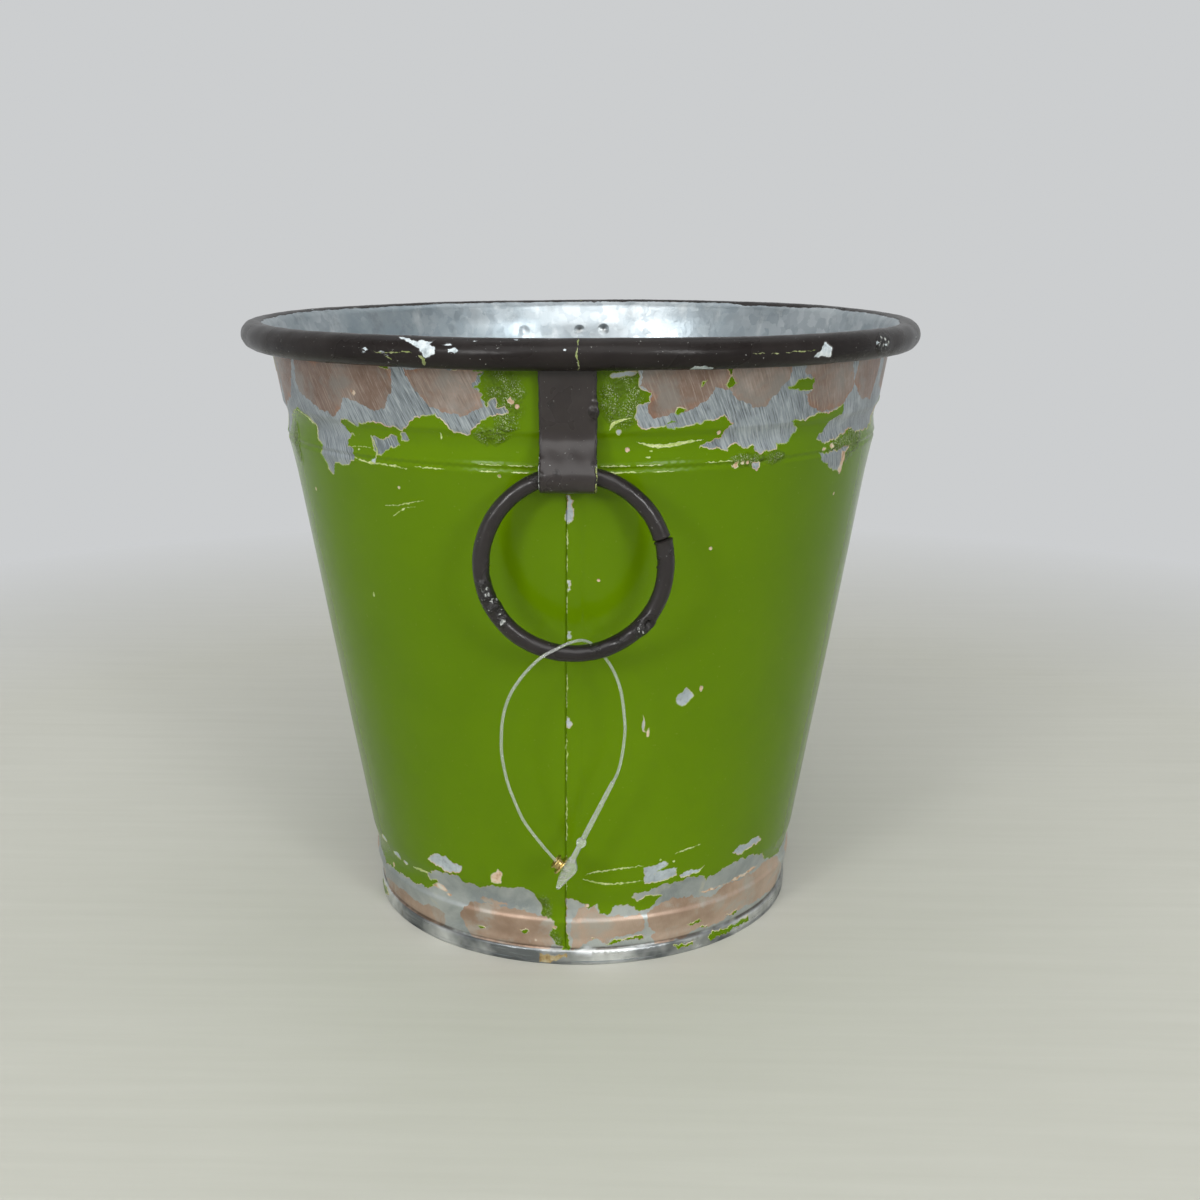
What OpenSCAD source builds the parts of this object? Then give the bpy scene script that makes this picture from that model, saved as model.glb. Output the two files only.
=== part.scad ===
// Tapered sheet-metal bucket with a rolled rim, two strap-hung ring handles and a tag loop.
// Millimetres. +Z is up, the origin is the centre of the foot, the front strap faces -Y.

/* [Bucket] */
// Height from the foot to the top of the rolled rim
total_h = 229; // [180:1:300]
// Outer diameter across the rolled rim
rim_od = 254; // [200:1:320]
// Outer diameter of the foot
base_od = 166.8; // [130:0.2:210]
// Thickness of the sheet
sheet_t = 0.8; // [0.5:0.05:1.2]

/* [Rim] */
// Outer diameter of the rolled curl
curl_d = 9.6; // [7:0.1:13]
// Where the curl's raw edge ends, in degrees round its section
curl_end_a = 250; // [235:1:270]
// How far the wall flares out to meet the curl
neck_flare = 1.75; // [1:0.05:2.6]

/* [Groove and ridge] */
// Drop from the rim to the groove's sharp upper edge
groove_drop = 29.5; // [24:0.5:36]
// Height of the groove
groove_h = 10; // [7:0.5:13]
// Depth of the groove
groove_depth = 1.1; // [0.5:0.05:1.6]
// Height that the ridge under the groove stands proud
ridge_proud = 0.5; // [0.2:0.05:0.9]
// Length over which the ridge fades into the wall
ridge_fade = 14; // [9:0.5:18]

/* [Foot] */
// Height of the hemmed seam round the foot
hem_h = 5.6; // [4:0.1:7]
// How far the band above the hem steps in
hem_step = 0.5; // [0.3:0.05:0.8]
// Height of the bead's crest above the floor
bead_z = 20; // [17:0.5:24]
// How far the bead stands out from the band
bead_out = 2.3; // [1.4:0.1:3]
// Height where the straight wall starts
wall_z = 30.5; // [28:0.5:38]
// How far the wall's start stands out from the foot
wall_step = 2.8; // [1.8:0.1:3.6]

/* [Lock seam] */
// Width of the seam's lap
seam_w = 6; // [4:0.25:8]
// Height of the lap over the wall
seam_t = 0.6; // [0.3:0.05:0.9]
// Sideways place of the lap's middle at half height
seam_x = 1.4; // [-3:0.1:3]
// Lean of the lap, in degrees
seam_lean = 0.45; // [-1.5:0.05:1.5]

/* [Bottom disc] */
// Height of the disc's underside above the floor
disc_z = 5.2; // [4.4:0.1:7]
// Thickness of the disc
disc_t = 0.8; // [0.5:0.05:1.2]

/* [Straps] */
// Width of each strap
strap_w = 18; // [14:0.5:24]
// Thickness of the strap
strap_t = 1.1; // [0.8:0.05:1.6]
// Bore of the fold that holds the ring
sleeve_d = 8.2; // [7:0.1:10]
// Height above the fold's centre where the two leaves meet
leaf_rise = 13.5; // [10:0.5:18]

/* [Rings] */
// Outer diameter of each ring
ring_od = 64; // [52:0.5:80]
// Diameter of the ring's rod
rod_d = 5.5; // [4:0.1:6.4]
// Drop from the rim to the ring's pivot
pivot_drop = 42.8; // [36:0.2:52]
// Sideways shift of the front ring in its strap
ring_shift = 1.5; // [0:0.1:2]
// Place of the ring's butt joint, in degrees above its right side
joint_a = 17; // [-60:1:60]
// Gap between the butted ends, in degrees
joint_gap = 0.6; // [0.3:0.1:2]

/* [Tag] */
// Diameter of the filament
loop_d = 1; // [0.6:0.1:1.6]
// Length of the moulded leg down to the middle of its ball
leg_l = 26; // [20:0.5:34]
// Diameter of the ball on the leg
ball_d = 3.5; // [2.5:0.1:5]
// Outer diameter of the eyelet's head
eyelet_d = 7.2; // [5:0.1:9]
// Length of the eyelet
eyelet_l = 2.8; // [2:0.1:4]
// Bore of the eyelet
eyelet_bore = 3; // [1.8:0.1:4]

/* [Output] */
// Sub-part to draw

/* [Hidden] */
$fn = 96;
seat_gap = 0.05;                       // gap left between a strap and what it sits on
disc_gap = 0.15;                       // gap left round the bottom disc's edge
curl_r = curl_d / 2;
curl_x = rim_od / 2 - curl_r;          // centre circle of the curl
curl_z = total_h - curl_r;
neck_z = total_h - curl_d;             // the straight wall ends level with the curl's underside
base_r = base_od / 2;
band_r = base_r - hem_step;
wall_low_r = base_r + wall_step;
wall_top_r = curl_x - curl_r + sheet_t - neck_flare - sheet_t / 8;
wall_slope = (wall_top_r - wall_low_r) / (neck_z - wall_z);
groove_z = total_h - groove_drop;      // the groove's upper edge
ridge_z = groove_z - groove_h - 2;     // the ridge's crest
function wall_r(z) = wall_low_r + (z - wall_z) * wall_slope;

// Outer face of the wall from the foot to the neck, as [radius, height]
outline = [
  [base_r, 0], [base_r, hem_h], [band_r, hem_h + 0.7], [band_r + 0.2, bead_z - 7],
  [band_r + bead_out - 0.9, bead_z - 4], [band_r + bead_out, bead_z - 1], [band_r + bead_out, bead_z + 2],
  [band_r + bead_out - 0.5, bead_z + 5.5], [wall_low_r, wall_z],
  [wall_r(ridge_z - ridge_fade), ridge_z - ridge_fade],
  [wall_r(ridge_z - 4) + ridge_proud * 0.8, ridge_z - 4], [wall_r(ridge_z) + ridge_proud, ridge_z],
  [wall_r(ridge_z + 1.8) + ridge_proud * 0.4, ridge_z + 1.8],
  [wall_r(ridge_z + 3.2) - groove_depth * 0.85, ridge_z + 3.2],
  [wall_r(groove_z - groove_h / 2) - groove_depth, groove_z - groove_h / 2],
  [wall_r(groove_z - 2) - groove_depth * 0.7, groove_z - 2], [wall_r(groove_z), groove_z],
  [wall_top_r, neck_z]];
function shifted(points, by) = [for (p = points) [p[0] + by, p[1]]];
function backwards(points) = [for (i = [len(points) - 1 : -1 : 0]) points[i]];

// The neck is a straight tangent from the wall's inner face to the curl
neck_in = [wall_top_r - sheet_t, neck_z];
neck_gap = norm([curl_x, curl_z] - neck_in);
neck_a = atan2(curl_z - neck_in[1], curl_x - neck_in[0]) + asin(curl_r / neck_gap);
neck_dir = [cos(neck_a), sin(neck_a)];
neck_side = [sin(neck_a), -cos(neck_a)];
neck_len = sqrt(pow(neck_gap, 2) - pow(curl_r, 2));
function curl_spot(a, r) = [curl_x, curl_z] + r * [cos(a), sin(a)];

// Hemmed foot: the wall turns in and up inside the disc's edge
hem_gap = disc_t + 2 * disc_gap;
hem_in_r = base_r - sheet_t - hem_gap;  // outer face of the turned-up hem

// Strap and ring places, from the wall
pivot_z = total_h - pivot_drop;
sleeve_r = sleeve_d / 2;
strap_top_z = neck_z + 0.8;             // the strap's end tucks in under the curl
leaf_a = atan((wall_r(strap_top_z) - wall_r(ridge_z) - ridge_proud) / (strap_top_z - ridge_z));
function strap_foot(pad) = wall_r(ridge_z) + ridge_proud + pad + seat_gap;
pivot_v = (pivot_z - ridge_z + sin(leaf_a) * (strap_t + sleeve_r)) / cos(leaf_a);
function pivot_out(pad) = strap_foot(pad) + cos(leaf_a) * (strap_t + sleeve_r) + sin(leaf_a) * pivot_v;
leaf_top_v = (strap_top_z - ridge_z) / cos(leaf_a);

rod_r = rod_d / 2;
ring_r = ring_od / 2 - rod_r;           // centre circle of the ring
function sag(x) = ring_r - sqrt(pow(ring_r, 2) - pow(x, 2));
function crown_rise(shift) = sag(strap_w / 2 + shift) / 2;

// Filament's route: up from the moulded leg, behind the ring, over it, down to the eyelet and lock
loop_route = [
  [14, -107.5, 80.7], [15.5, -108, 84], [16.8, -108.6, 89], [17.6, -109.2, 94.5], [18.1, -110, 100.5],
  [17.8, -110.7, 105.5], [17.3, -111.3, 110.5], [16.4, -111.9, 115.5], [14.7, -112.4, 120.5],
  [12.6, -112.8, 124.5], [10, -113, 128], [7.4, -113.2, 130.6], [4.6, -114.5, 132.3],
  [1.4, -116.9, 132.6], [-1.6, -119.3, 132], [-4.6, -120.7, 130.8], [-8.4, -121, 128.7],
  [-12.2, -120.2, 125], [-15.8, -119, 120.5], [-18.9, -117.6, 115.3], [-21, -116.3, 109.8],
  [-22.2, -114.9, 104], [-22.7, -113.6, 98.5], [-22.8, -112.3, 93], [-22.2, -110.8, 86.8],
  [-21.1, -109.4, 80.7], [-19.3, -108, 74.4], [-16.8, -106.3, 67.2], [-14, -105.2, 62],
  [-10.9, -104.2, 57.3], [-8, -103.5, 53.2], [-5.4, -103.1, 50], [-2.8, -102.9, 47.4]];
leg_top = [14.1, -107.5, 81];
lock_tilt = [6.6, 24.9, 0];             // from hanging plumb to lying along the leg
eyelet_at = [-4.7, -103, 49.2];
eyelet_tilt = [0, 129, 0];              // its bore lies along the filament

green = [0.41, 0.54, 0.07];
zinc = [0.68, 0.71, 0.72];
brown = [0.24, 0.21, 0.2];
clear = [0.9, 0.93, 0.9];
brass = [0.72, 0.56, 0.24];

// Section of the sheet: hemmed foot, wall and neck in one outline, then the open curl
module body_section() {
  neck_out = neck_in + neck_len * neck_dir + sheet_t * neck_side;
  hem_top = disc_z - 0.8;
  polygon(concat(
    outline,
    [neck_out, curl_spot(neck_a + 84, curl_r - sheet_t / 2), neck_in + neck_len * neck_dir],
    backwards(shifted([for (p = outline) if (p[1] > hem_h) p], -sheet_t)),
    [[base_r - sheet_t, hem_h], [base_r - sheet_t, sheet_t], [hem_in_r, sheet_t], [hem_in_r, hem_top],
     [hem_in_r - sheet_t, hem_top], [hem_in_r - sheet_t, 0]]));
  translate([curl_x, curl_z]) difference() {
    circle(r = curl_r);
    circle(r = curl_r - sheet_t);
    polygon([[0, 0], 2 * curl_r * [cos(neck_a + 90), sin(neck_a + 90)], [-2 * curl_r, 0],
             2 * curl_r * [cos(215), sin(215)], 2 * curl_r * [cos(curl_end_a), sin(curl_end_a)]]);
  }
}

// The lap of the lock seam, following the wall's groove and beads
module seam() {
  intersection() {
    rotate_extrude() polygon(concat(shifted(outline, seam_t), backwards(shifted(outline, -sheet_t / 2))));
    translate([seam_x, -rim_od / 2, total_h / 2]) rotate([0, seam_lean, 0])
      cube([seam_w, rim_od, total_h * 1.1], center = true);
    translate([0, -rim_od / 2, (neck_z + hem_h) / 2])
      cube([rim_od, rim_od, neck_z - hem_h], center = true);
  }
}

module body() {
  color(green) {
    rotate_extrude() body_section();
    seam();
  }
}

module bottom() {
  edge_r = base_r - sheet_t - disc_gap;
  color(zinc) rotate_extrude()
    polygon([[0, disc_z], [edge_r - disc_t, disc_z], [edge_r - disc_t, sheet_t + disc_gap],
             [edge_r, sheet_t + disc_gap], [edge_r, disc_z + disc_t], [0, disc_z + disc_t]]);
}

// Side view of a strap: x stands out from the wall, y runs up it, with the fold's bore at the bottom
bore = [strap_t + sleeve_r, pivot_v];
fold_r = sleeve_r + strap_t;
meet = [2 * strap_t, pivot_v + leaf_rise];  // where the outer leaf comes down on the inner one
touch_a = atan2(leaf_rise, meet[0] - bore[0]) - acos(fold_r / norm(meet - bore));
touch = [cos(touch_a), sin(touch_a)];       // where it leaves the fold

module fold_section() {
  translate(bore) difference() {
    circle(r = fold_r);
    circle(r = sleeve_r);
    polygon([[0, 0], 2 * fold_r * touch, [0, 2 * fold_r], [-2 * fold_r, 2 * fold_r], [-2 * fold_r, 0]]);
  }
}

// Each leaf ends in a point inside the fold, so that the two join
module leaf_section() {
  mid_r = (sleeve_r + fold_r) / 2;
  leaf = [-touch[1], touch[0]];
  run = (strap_t - bore[0] - sleeve_r * touch[0]) / leaf[0];
  polygon([[0, pivot_v], [0, leaf_top_v], [2 * strap_t, leaf_top_v], meet, bore + fold_r * touch,
           bore + mid_r * [cos(touch_a - 12), sin(touch_a - 12)], bore + sleeve_r * touch,
           bore + sleeve_r * touch + run * leaf, [strap_t, pivot_v], bore + mid_r * [cos(192), sin(192)]]);
}

// A strap on the -Y side; pad is what it bridges on the wall, such as the seam's lap
module strap(pad) {
  translate([0, -strap_foot(pad), ridge_z]) rotate([leaf_a, 0, 0]) rotate([90, 0, -90]) {
    linear_extrude(height = strap_w, center = true) fold_section();
    linear_extrude(height = strap_w, center = true) leaf_section();
  }
}

module front_strap() {
  color(brown) strap(seam_t);
}

module rear_strap() {
  color(brown) rotate([0, 0, 180]) strap(0);
}

// A ring hanging plumb in a strap on the -Y side
module ring(pad, shift) {
  translate([shift, -pivot_out(pad), pivot_z + crown_rise(shift) - ring_r]) rotate([90, 0, 0])
    rotate([0, 0, joint_a + joint_gap / 2]) rotate_extrude(angle = 360 - joint_gap)
      translate([ring_r, 0]) circle(r = rod_r);
}

module front_ring() {
  color(brown) ring(seam_t, ring_shift);
}

module rear_ring() {
  color(brown) rotate([0, 0, 180]) ring(0, 0);
}

// Eight-sided tube along a smooth curve through the route's points
sides = 8;
steps = 2;
function route_at(i) = loop_route[max(0, min(len(loop_route) - 1, i))];
function smooth(i, t) = 0.5 * (2 * route_at(i) + t * (route_at(i + 1) - route_at(i - 1))
  + t * t * (2 * route_at(i - 1) - 5 * route_at(i) + 4 * route_at(i + 1) - route_at(i + 2))
  + t * t * t * (3 * route_at(i) - route_at(i - 1) - 3 * route_at(i + 1) + route_at(i + 2)));
loop_line = concat([for (i = [0 : len(loop_route) - 2], s = [0 : steps - 1]) smooth(i, s / steps)],
                   [loop_route[len(loop_route) - 1]]);
function along(i) = loop_line[min(len(loop_line) - 1, i + 1)] - loop_line[max(0, i - 1)];
function unit(v) = v / norm(v);
function spoke(i, s) = let (d = unit(along(i)), u = unit(cross(d, [0, 1, 0.2])), v = cross(d, u))
  loop_line[i] + loop_d / 2 * (cos(s * 360 / sides) * u + sin(s * 360 / sides) * v);

module tag_loop() {
  last = len(loop_line) - 1;
  color(clear) polyhedron(
    points = [for (i = [0 : last], s = [0 : sides - 1]) spoke(i, s)],
    faces = concat([[for (s = [sides - 1 : -1 : 0]) s]],
                   [for (i = [0 : last - 1], s = [0 : sides - 1])
                     [i * sides + s, i * sides + (s + 1) % sides,
                      (i + 1) * sides + (s + 1) % sides, (i + 1) * sides + s]],
                   [[for (s = [0 : sides - 1]) last * sides + s]]));
}

// Leg, ball, neck and lock head, hanging from the leg's top
module tag_lock() {
  neck_l = leg_l + 7.4;
  head_z = neck_l + 0.4;
  color(clear) translate(leg_top) rotate(lock_tilt) {
    translate([0, 0, -leg_l]) cylinder(r1 = 1, r2 = 0.75, h = leg_l);
    translate([0, 0, -leg_l]) sphere(d = ball_d);
    translate([0, 0, -neck_l]) cylinder(r = 1, h = neck_l - leg_l);
    translate([0, 0, -neck_l]) sphere(r = 1.25);
    rotate([90, 0, 0]) linear_extrude(height = 3, center = true)
      polygon([[-1.2, -head_z], [1.2, -head_z + 0.4], [3, -head_z - 2], [3, -head_z - 3.4],
               [1, -head_z - 9], [-1.3, -head_z - 9], [-1.5, -head_z - 4]]);
    translate([-0.2, 0, -head_z - 12.2]) cylinder(r1 = 0.5, r2 = 1.25, h = 3.4);
  }
}

module tag_eyelet() {
  color(brass) translate(eyelet_at) rotate(eyelet_tilt) difference() {
    union() {
      cylinder(d = eyelet_bore + 1, h = eyelet_l, center = true);
      translate([0, 0, eyelet_l / 2 - 0.6]) cylinder(d = eyelet_d, h = 0.6);
      translate([0, 0, -eyelet_l / 2]) cylinder(d = eyelet_d * 0.72, h = 0.7);
    }
    cylinder(d = eyelet_bore, h = eyelet_l + 1, center = true);
  }
}

body();
bottom();
front_strap();
rear_strap();
front_ring();
rear_ring();
tag_loop();
tag_lock();
tag_eyelet();
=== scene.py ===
"""Looks of the paint-chipped sheet-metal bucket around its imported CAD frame."""
import math
import random

import bmesh
import bpy
import numpy as np
from mathutils import Euler, Matrix, Vector, kdtree
from mathutils.geometry import delaunay_2d_cdt


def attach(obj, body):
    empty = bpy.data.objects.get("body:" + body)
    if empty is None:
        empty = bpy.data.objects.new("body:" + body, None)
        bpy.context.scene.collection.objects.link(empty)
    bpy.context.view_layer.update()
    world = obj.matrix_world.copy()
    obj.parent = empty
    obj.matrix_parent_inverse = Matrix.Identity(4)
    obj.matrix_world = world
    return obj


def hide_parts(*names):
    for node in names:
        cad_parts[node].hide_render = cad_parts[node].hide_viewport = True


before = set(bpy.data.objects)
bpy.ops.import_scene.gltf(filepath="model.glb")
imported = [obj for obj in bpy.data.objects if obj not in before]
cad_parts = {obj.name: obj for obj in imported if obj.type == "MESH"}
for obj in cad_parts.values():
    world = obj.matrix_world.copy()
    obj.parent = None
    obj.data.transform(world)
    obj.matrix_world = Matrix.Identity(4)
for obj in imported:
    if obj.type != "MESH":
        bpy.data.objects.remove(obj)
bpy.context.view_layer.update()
MM = 0.001

# ---------------------------------------------------------------- camera
cam_data = bpy.data.cameras.new("main_camera")
cam_data.sensor_width = 36.0
cam_data.lens = 43.90
cam_data.clip_start = 0.01
cam_data.clip_end = 20.0
camera = bpy.data.objects.new("main_camera", cam_data)
bpy.context.scene.collection.objects.link(camera)
camera.location = (0.02085, -0.56870, 0.26193)
camera.rotation_euler = (math.radians(75.667), 0.0, math.radians(1.382))
bpy.context.scene.camera = camera


# ---------------------------------------------------------------- small helpers
def link(name, data):
    obj = bpy.data.objects.new(name, data)
    bpy.context.scene.collection.objects.link(obj)
    return obj


class Nodes:
    """A material's node tree, with short calls for the nodes used below."""

    def __init__(self, name):
        self.mat = bpy.data.materials.new(name)
        self.mat.use_nodes = True
        self.tree = self.mat.node_tree
        self.tree.nodes.clear()
        self.out = self.tree.nodes.new("ShaderNodeOutputMaterial")
        self.bsdf = self.tree.nodes.new("ShaderNodeBsdfPrincipled")
        self.wire(self.bsdf.outputs[0], self.out.inputs[0])
        self.coord = self.tree.nodes.new("ShaderNodeTexCoord").outputs["Object"]

    def wire(self, a, b):
        self.tree.links.new(a, b)

    def put(self, socket, value):
        """Wires another node's output into the socket, or sets its value; a colour gets an alpha of 1."""
        if isinstance(value, bpy.types.NodeSocket):
            self.wire(value, socket)
            return
        if hasattr(value, "__len__") and len(socket.default_value) == 4:
            value = (*value, 1.0)
        socket.default_value = value

    def set(self, **values):
        names = {"color": "Base Color", "rough": "Roughness", "metal": "Metallic", "normal": "Normal",
                 "ior": "IOR", "trans": "Transmission Weight", "spec": "Specular IOR Level"}
        for key, value in values.items():
            self.put(self.bsdf.inputs[names[key]], value)
        return self

    def math(self, op, a, b=0.0, clamp=False):
        n = self.tree.nodes.new("ShaderNodeMath")
        n.operation = op
        n.use_clamp = clamp
        self.put(n.inputs[0], a)
        self.put(n.inputs[1], b)
        return n.outputs[0]

    def vmath(self, op, a, b):
        n = self.tree.nodes.new("ShaderNodeVectorMath")
        n.operation = op
        self.put(n.inputs[0], a)
        self.put(n.inputs[1], b)
        return n.outputs["Value" if op == "DISTANCE" else "Vector"]

    def xyz(self, vector):
        n = self.tree.nodes.new("ShaderNodeSeparateXYZ")
        self.put(n.inputs[0], vector)
        return n.outputs

    def join(self, x, y, z):
        n = self.tree.nodes.new("ShaderNodeCombineXYZ")
        for s, v in zip(n.inputs, (x, y, z)):
            self.put(s, v)
        return n.outputs[0]

    def noise(self, scale, detail=4.0, rough=0.55, vector=None, distort=0.0, color=False):
        n = self.tree.nodes.new("ShaderNodeTexNoise")
        self.put(n.inputs["Vector"], self.coord if vector is None else vector)
        n.inputs["Scale"].default_value = scale
        n.inputs["Detail"].default_value = detail
        n.inputs["Roughness"].default_value = rough
        n.inputs["Distortion"].default_value = distort
        return n.outputs[1 if color else 0]

    def cells(self, scale, vector=None, feature="F1", out="Distance"):
        n = self.tree.nodes.new("ShaderNodeTexVoronoi")
        n.feature = feature
        self.put(n.inputs["Vector"], self.coord if vector is None else vector)
        n.inputs["Scale"].default_value = scale
        return n.outputs[out]

    def ramp(self, value, stops):
        n = self.tree.nodes.new("ShaderNodeValToRGB")
        e = n.color_ramp.elements
        while len(e) < len(stops):
            e.new(0.5)
        for item, (pos, col) in zip(e, stops):
            item.position = pos
            item.color = (*col, 1.0)
        self.put(n.inputs[0], value)
        return n.outputs[0]

    def level(self, value, low, high, out_low=0.0, out_high=1.0):
        """The value's stretch from low to high laid onto out_low to out_high, clamped."""
        n = self.tree.nodes.new("ShaderNodeMapRange")
        n.clamp = True
        for s, v in zip(n.inputs[:5], (value, low, high, out_low, out_high)):
            self.put(s, v)
        return n.outputs[0]

    def mix(self, factor, a, b):
        """Colour a where the factor is 0, b where it is 1."""
        n = self.tree.nodes.new("ShaderNodeMix")
        n.data_type = "RGBA"
        n.clamp_factor = True
        self.put(n.inputs[0], factor)
        self.put(n.inputs[6], a)
        self.put(n.inputs[7], b)
        return n.outputs[2]

    def bump(self, height, strength, distance, below=None):
        """Relief from a height, on top of the relief given as below."""
        n = self.tree.nodes.new("ShaderNodeBump")
        n.inputs["Strength"].default_value = strength
        n.inputs["Distance"].default_value = distance
        self.put(n.inputs["Height"], height)
        if below is not None:
            self.put(n.inputs["Normal"], below)
        return n.outputs[0]

    def attribute(self, name):
        n = self.tree.nodes.new("ShaderNodeAttribute")
        n.attribute_name = name
        return n.outputs["Fac"]

    def round_wall(self):
        """Metres along the wall's girth and up it, from the object's own coordinates."""
        x, y, z = self.xyz(self.coord)
        turn = self.math("ARCTAN2", x, self.math("MULTIPLY", y, -1.0))
        return self.math("MULTIPLY", turn, MEAN_R * MM), z


def shade(bright, tone):
    return tuple(bright * c for c in tone)


# ---------------------------------------------------------------- the part's sizes, millimetres
SHEET = 0.8
CURL_R, CURL_X, CURL_Z = 4.8, 122.2, 224.2
NECK_Z, BASE_R, BAND_R = 219.4, 83.4, 82.9
WALL_LOW_R, WALL_TOP_R, WALL_Z = 86.2, 116.35, 30.5
RIDGE_Z = 187.5
MEAN_R = 105.0                         # the wall's radius in its upper half, used for lengths along its girth
NECK_A = math.radians(71.6)
GIRTH = MEAN_R * math.pi / 180         # skin coordinates: mm along the girth for one degree
PAINT = 0.16                           # thickness of the paint
COLUMNS = 240                          # plain points round the bucket
SMOOTHING, PROFILE_STEP = 0.32, 0.05   # spread of the bends' rounding, and the profile's spacing in height
# Slight dents in the wall: turn, height, spread and depth in mm
DENTS = [(-38, 96, 17, -0.35), (52, 128, 22, -0.3), (101, 60, 15, -0.5), (24, 62, 11, -0.22),
         (-97, 150, 20, -0.45), (160, 112, 24, -0.5), (-150, 70, 16, -0.4), (-63, 44, 9, -0.25)]


def wall_r(z):
    """The plain cone's outer radius at a height."""
    return WALL_LOW_R + (z - WALL_Z) * (WALL_TOP_R - WALL_LOW_R) / (NECK_Z - WALL_Z)


def make_profile():
    """Outer radius of the sheet by height, with the presses' small radii at each bend."""
    pts = [(BASE_R, -3), (BASE_R, 5.4), (BAND_R - 0.45, 6.1), (BAND_R, 7.2), (BAND_R + 0.1, 10.5),
           (BAND_R + 0.9, 13), (BAND_R + 1.7, 15.6), (BAND_R + 2.05, 17.7), (BAND_R + 1.5, 19.2),
           (BAND_R + 1.5, 23), (BAND_R + 1.95, 25.7), (WALL_LOW_R, WALL_Z),
           (wall_r(173.5), 173.5), (wall_r(183.5) + 0.35, 183.5), (wall_r(186.3) + 0.62, 186.3),
           (wall_r(187.4) - 0.15, 187.4), (wall_r(188.5) + 0.58, 188.5), (wall_r(189.3) + 0.02, 189.3),
           (wall_r(191) - 0.36, 191), (wall_r(193) - 0.86, 193), (wall_r(194.8) - 1.1, 194.8),
           (wall_r(197.5) - 0.85, 197.5), (wall_r(199.5), 199.5), (WALL_TOP_R, NECK_Z), (WALL_TOP_R + 1, 226)]
    z = np.arange(-3, 226, PROFILE_STEP)
    r = np.interp(z, [p[1] for p in pts], [p[0] for p in pts])
    reach = 30
    kernel = np.exp(-0.5 * (np.arange(-reach, reach + 1) * PROFILE_STEP / SMOOTHING) ** 2)
    kernel /= kernel.sum()
    return z, np.convolve(np.pad(r, reach, mode="edge"), kernel, mode="valid")


PROFILE_Z, PROFILE_R = make_profile()


def seam_left(z):
    """How far the lock seam's fold lies to the right of the middle, in mm; the seam leans a little."""
    return -1.8 + (z - 107) * 0.015


def outer_radius(turn, z):
    """Radius of the sheet's outer face in mm, turn in degrees: profile, lock seam and slight dents."""
    turn, z = np.asarray(turn, float), np.asarray(z, float)
    r = np.interp(z, PROFILE_Z, PROFILE_R)
    off = r * np.sin(np.radians(turn)) - seam_left(z)
    lap = np.interp(off, [-0.36, -0.22, -0.1, 0.04, 4.4, 6.0], [0, -0.28, -0.28, 0.5, 0.5, 0])
    lap = np.where(np.abs(turn) < 60, lap, 0) * np.interp(z, [5.9, 6.6], [0, 1])
    calm = np.interp(z, [0, 8, 30, 180, 215, 219], [0, 0.25, 1, 1, 0.6, 0.3])
    t = np.radians(turn)
    dent = (0.10 * np.sin(3 * t + 0.7 + z / 61) + 0.07 * np.sin(7 * t - z / 37 + 1.9)
            + 0.05 * np.sin(11 * t + z / 23))
    for at, height, wide, deep in DENTS:
        gap = (turn - at + 180) % 360 - 180
        dent = dent + deep * np.exp(-((gap * GIRTH) ** 2 + (z - height) ** 2) / (2 * wide ** 2))
    return r + lap + dent * calm


def round_to_xyz(turn, r, z):
    a = np.radians(turn)
    return np.stack([r * np.sin(a), -r * np.cos(a), np.broadcast_to(z, r.shape)], axis=-1)


def wall_place(turn, z, lift):
    """Points on the wall's outer face, lifted off it by so many mm."""
    return round_to_xyz(turn, outer_radius(turn, z) + lift, z)


def wall_normal(turn, z):
    e = 0.12
    slope_z = (outer_radius(turn, z + e) - outer_radius(turn, z - e)) / (2 * e)
    r = outer_radius(turn, z)
    slope_t = (outer_radius(turn + e, z) - outer_radius(turn - e, z)) / (2 * math.radians(e)) / r
    a = np.radians(turn)
    out = np.stack([np.sin(a), -np.cos(a), np.zeros_like(a)], -1)
    side = np.stack([np.cos(a), np.sin(a), np.zeros_like(a)], -1)
    n = out - slope_t[..., None] * side
    n[..., 2] -= slope_z
    return n / np.linalg.norm(n, axis=-1, keepdims=True)


def rim_shift(turn):
    """Slight out-of-round and drop of the rolled rim, in mm."""
    t = np.radians(turn)
    return (0.25 * np.sin(2 * t + 0.6) + 0.12 * np.sin(5 * t + 2),
            -0.25 + 0.3 * np.sin(t * 2 + 2.3) + 0.18 * np.sin(3 * t + 1) + 0.08 * np.sin(9 * t))


RIM_GIRTH = CURL_X * math.pi / 180
RIM_START, RIM_END = 161.6, -110.0     # degrees round the curl's section, over the top
RIM_LONG = math.radians(RIM_START - RIM_END) * CURL_R


def rim_place(turn, down, lift):
    """Points on the rolled rim: down runs in mm along its section from RIM_START, over the top."""
    phi = math.radians(RIM_START) - np.asarray(down, float) / CURL_R
    dr, dz = rim_shift(turn)
    lump = 0.06 * np.sin(np.radians(turn) * 41 + down) * np.sin(np.radians(turn) * 17 - down * 0.7)
    rad = CURL_R + lift + lump
    return round_to_xyz(turn, CURL_X + dr + rad * np.cos(phi), CURL_Z + dz + rad * np.sin(phi))


def rim_normal(turn, down):
    e = 0.05
    along = rim_place(turn + e, down, 0) - rim_place(turn - e, down, 0)
    across = rim_place(turn, down + e, 0) - rim_place(turn, down - e, 0)
    n = np.cross(across, along)
    return n / np.linalg.norm(n, axis=-1, keepdims=True)


# ---------------------------------------------------------------- paint skins
SIDE_ROOM, END_ROOM = 2.5, 0.4         # mm kept free between patches and a skin's own border
FLANK = 0.28                           # mm from an outline to the extra points on both sides of it


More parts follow.
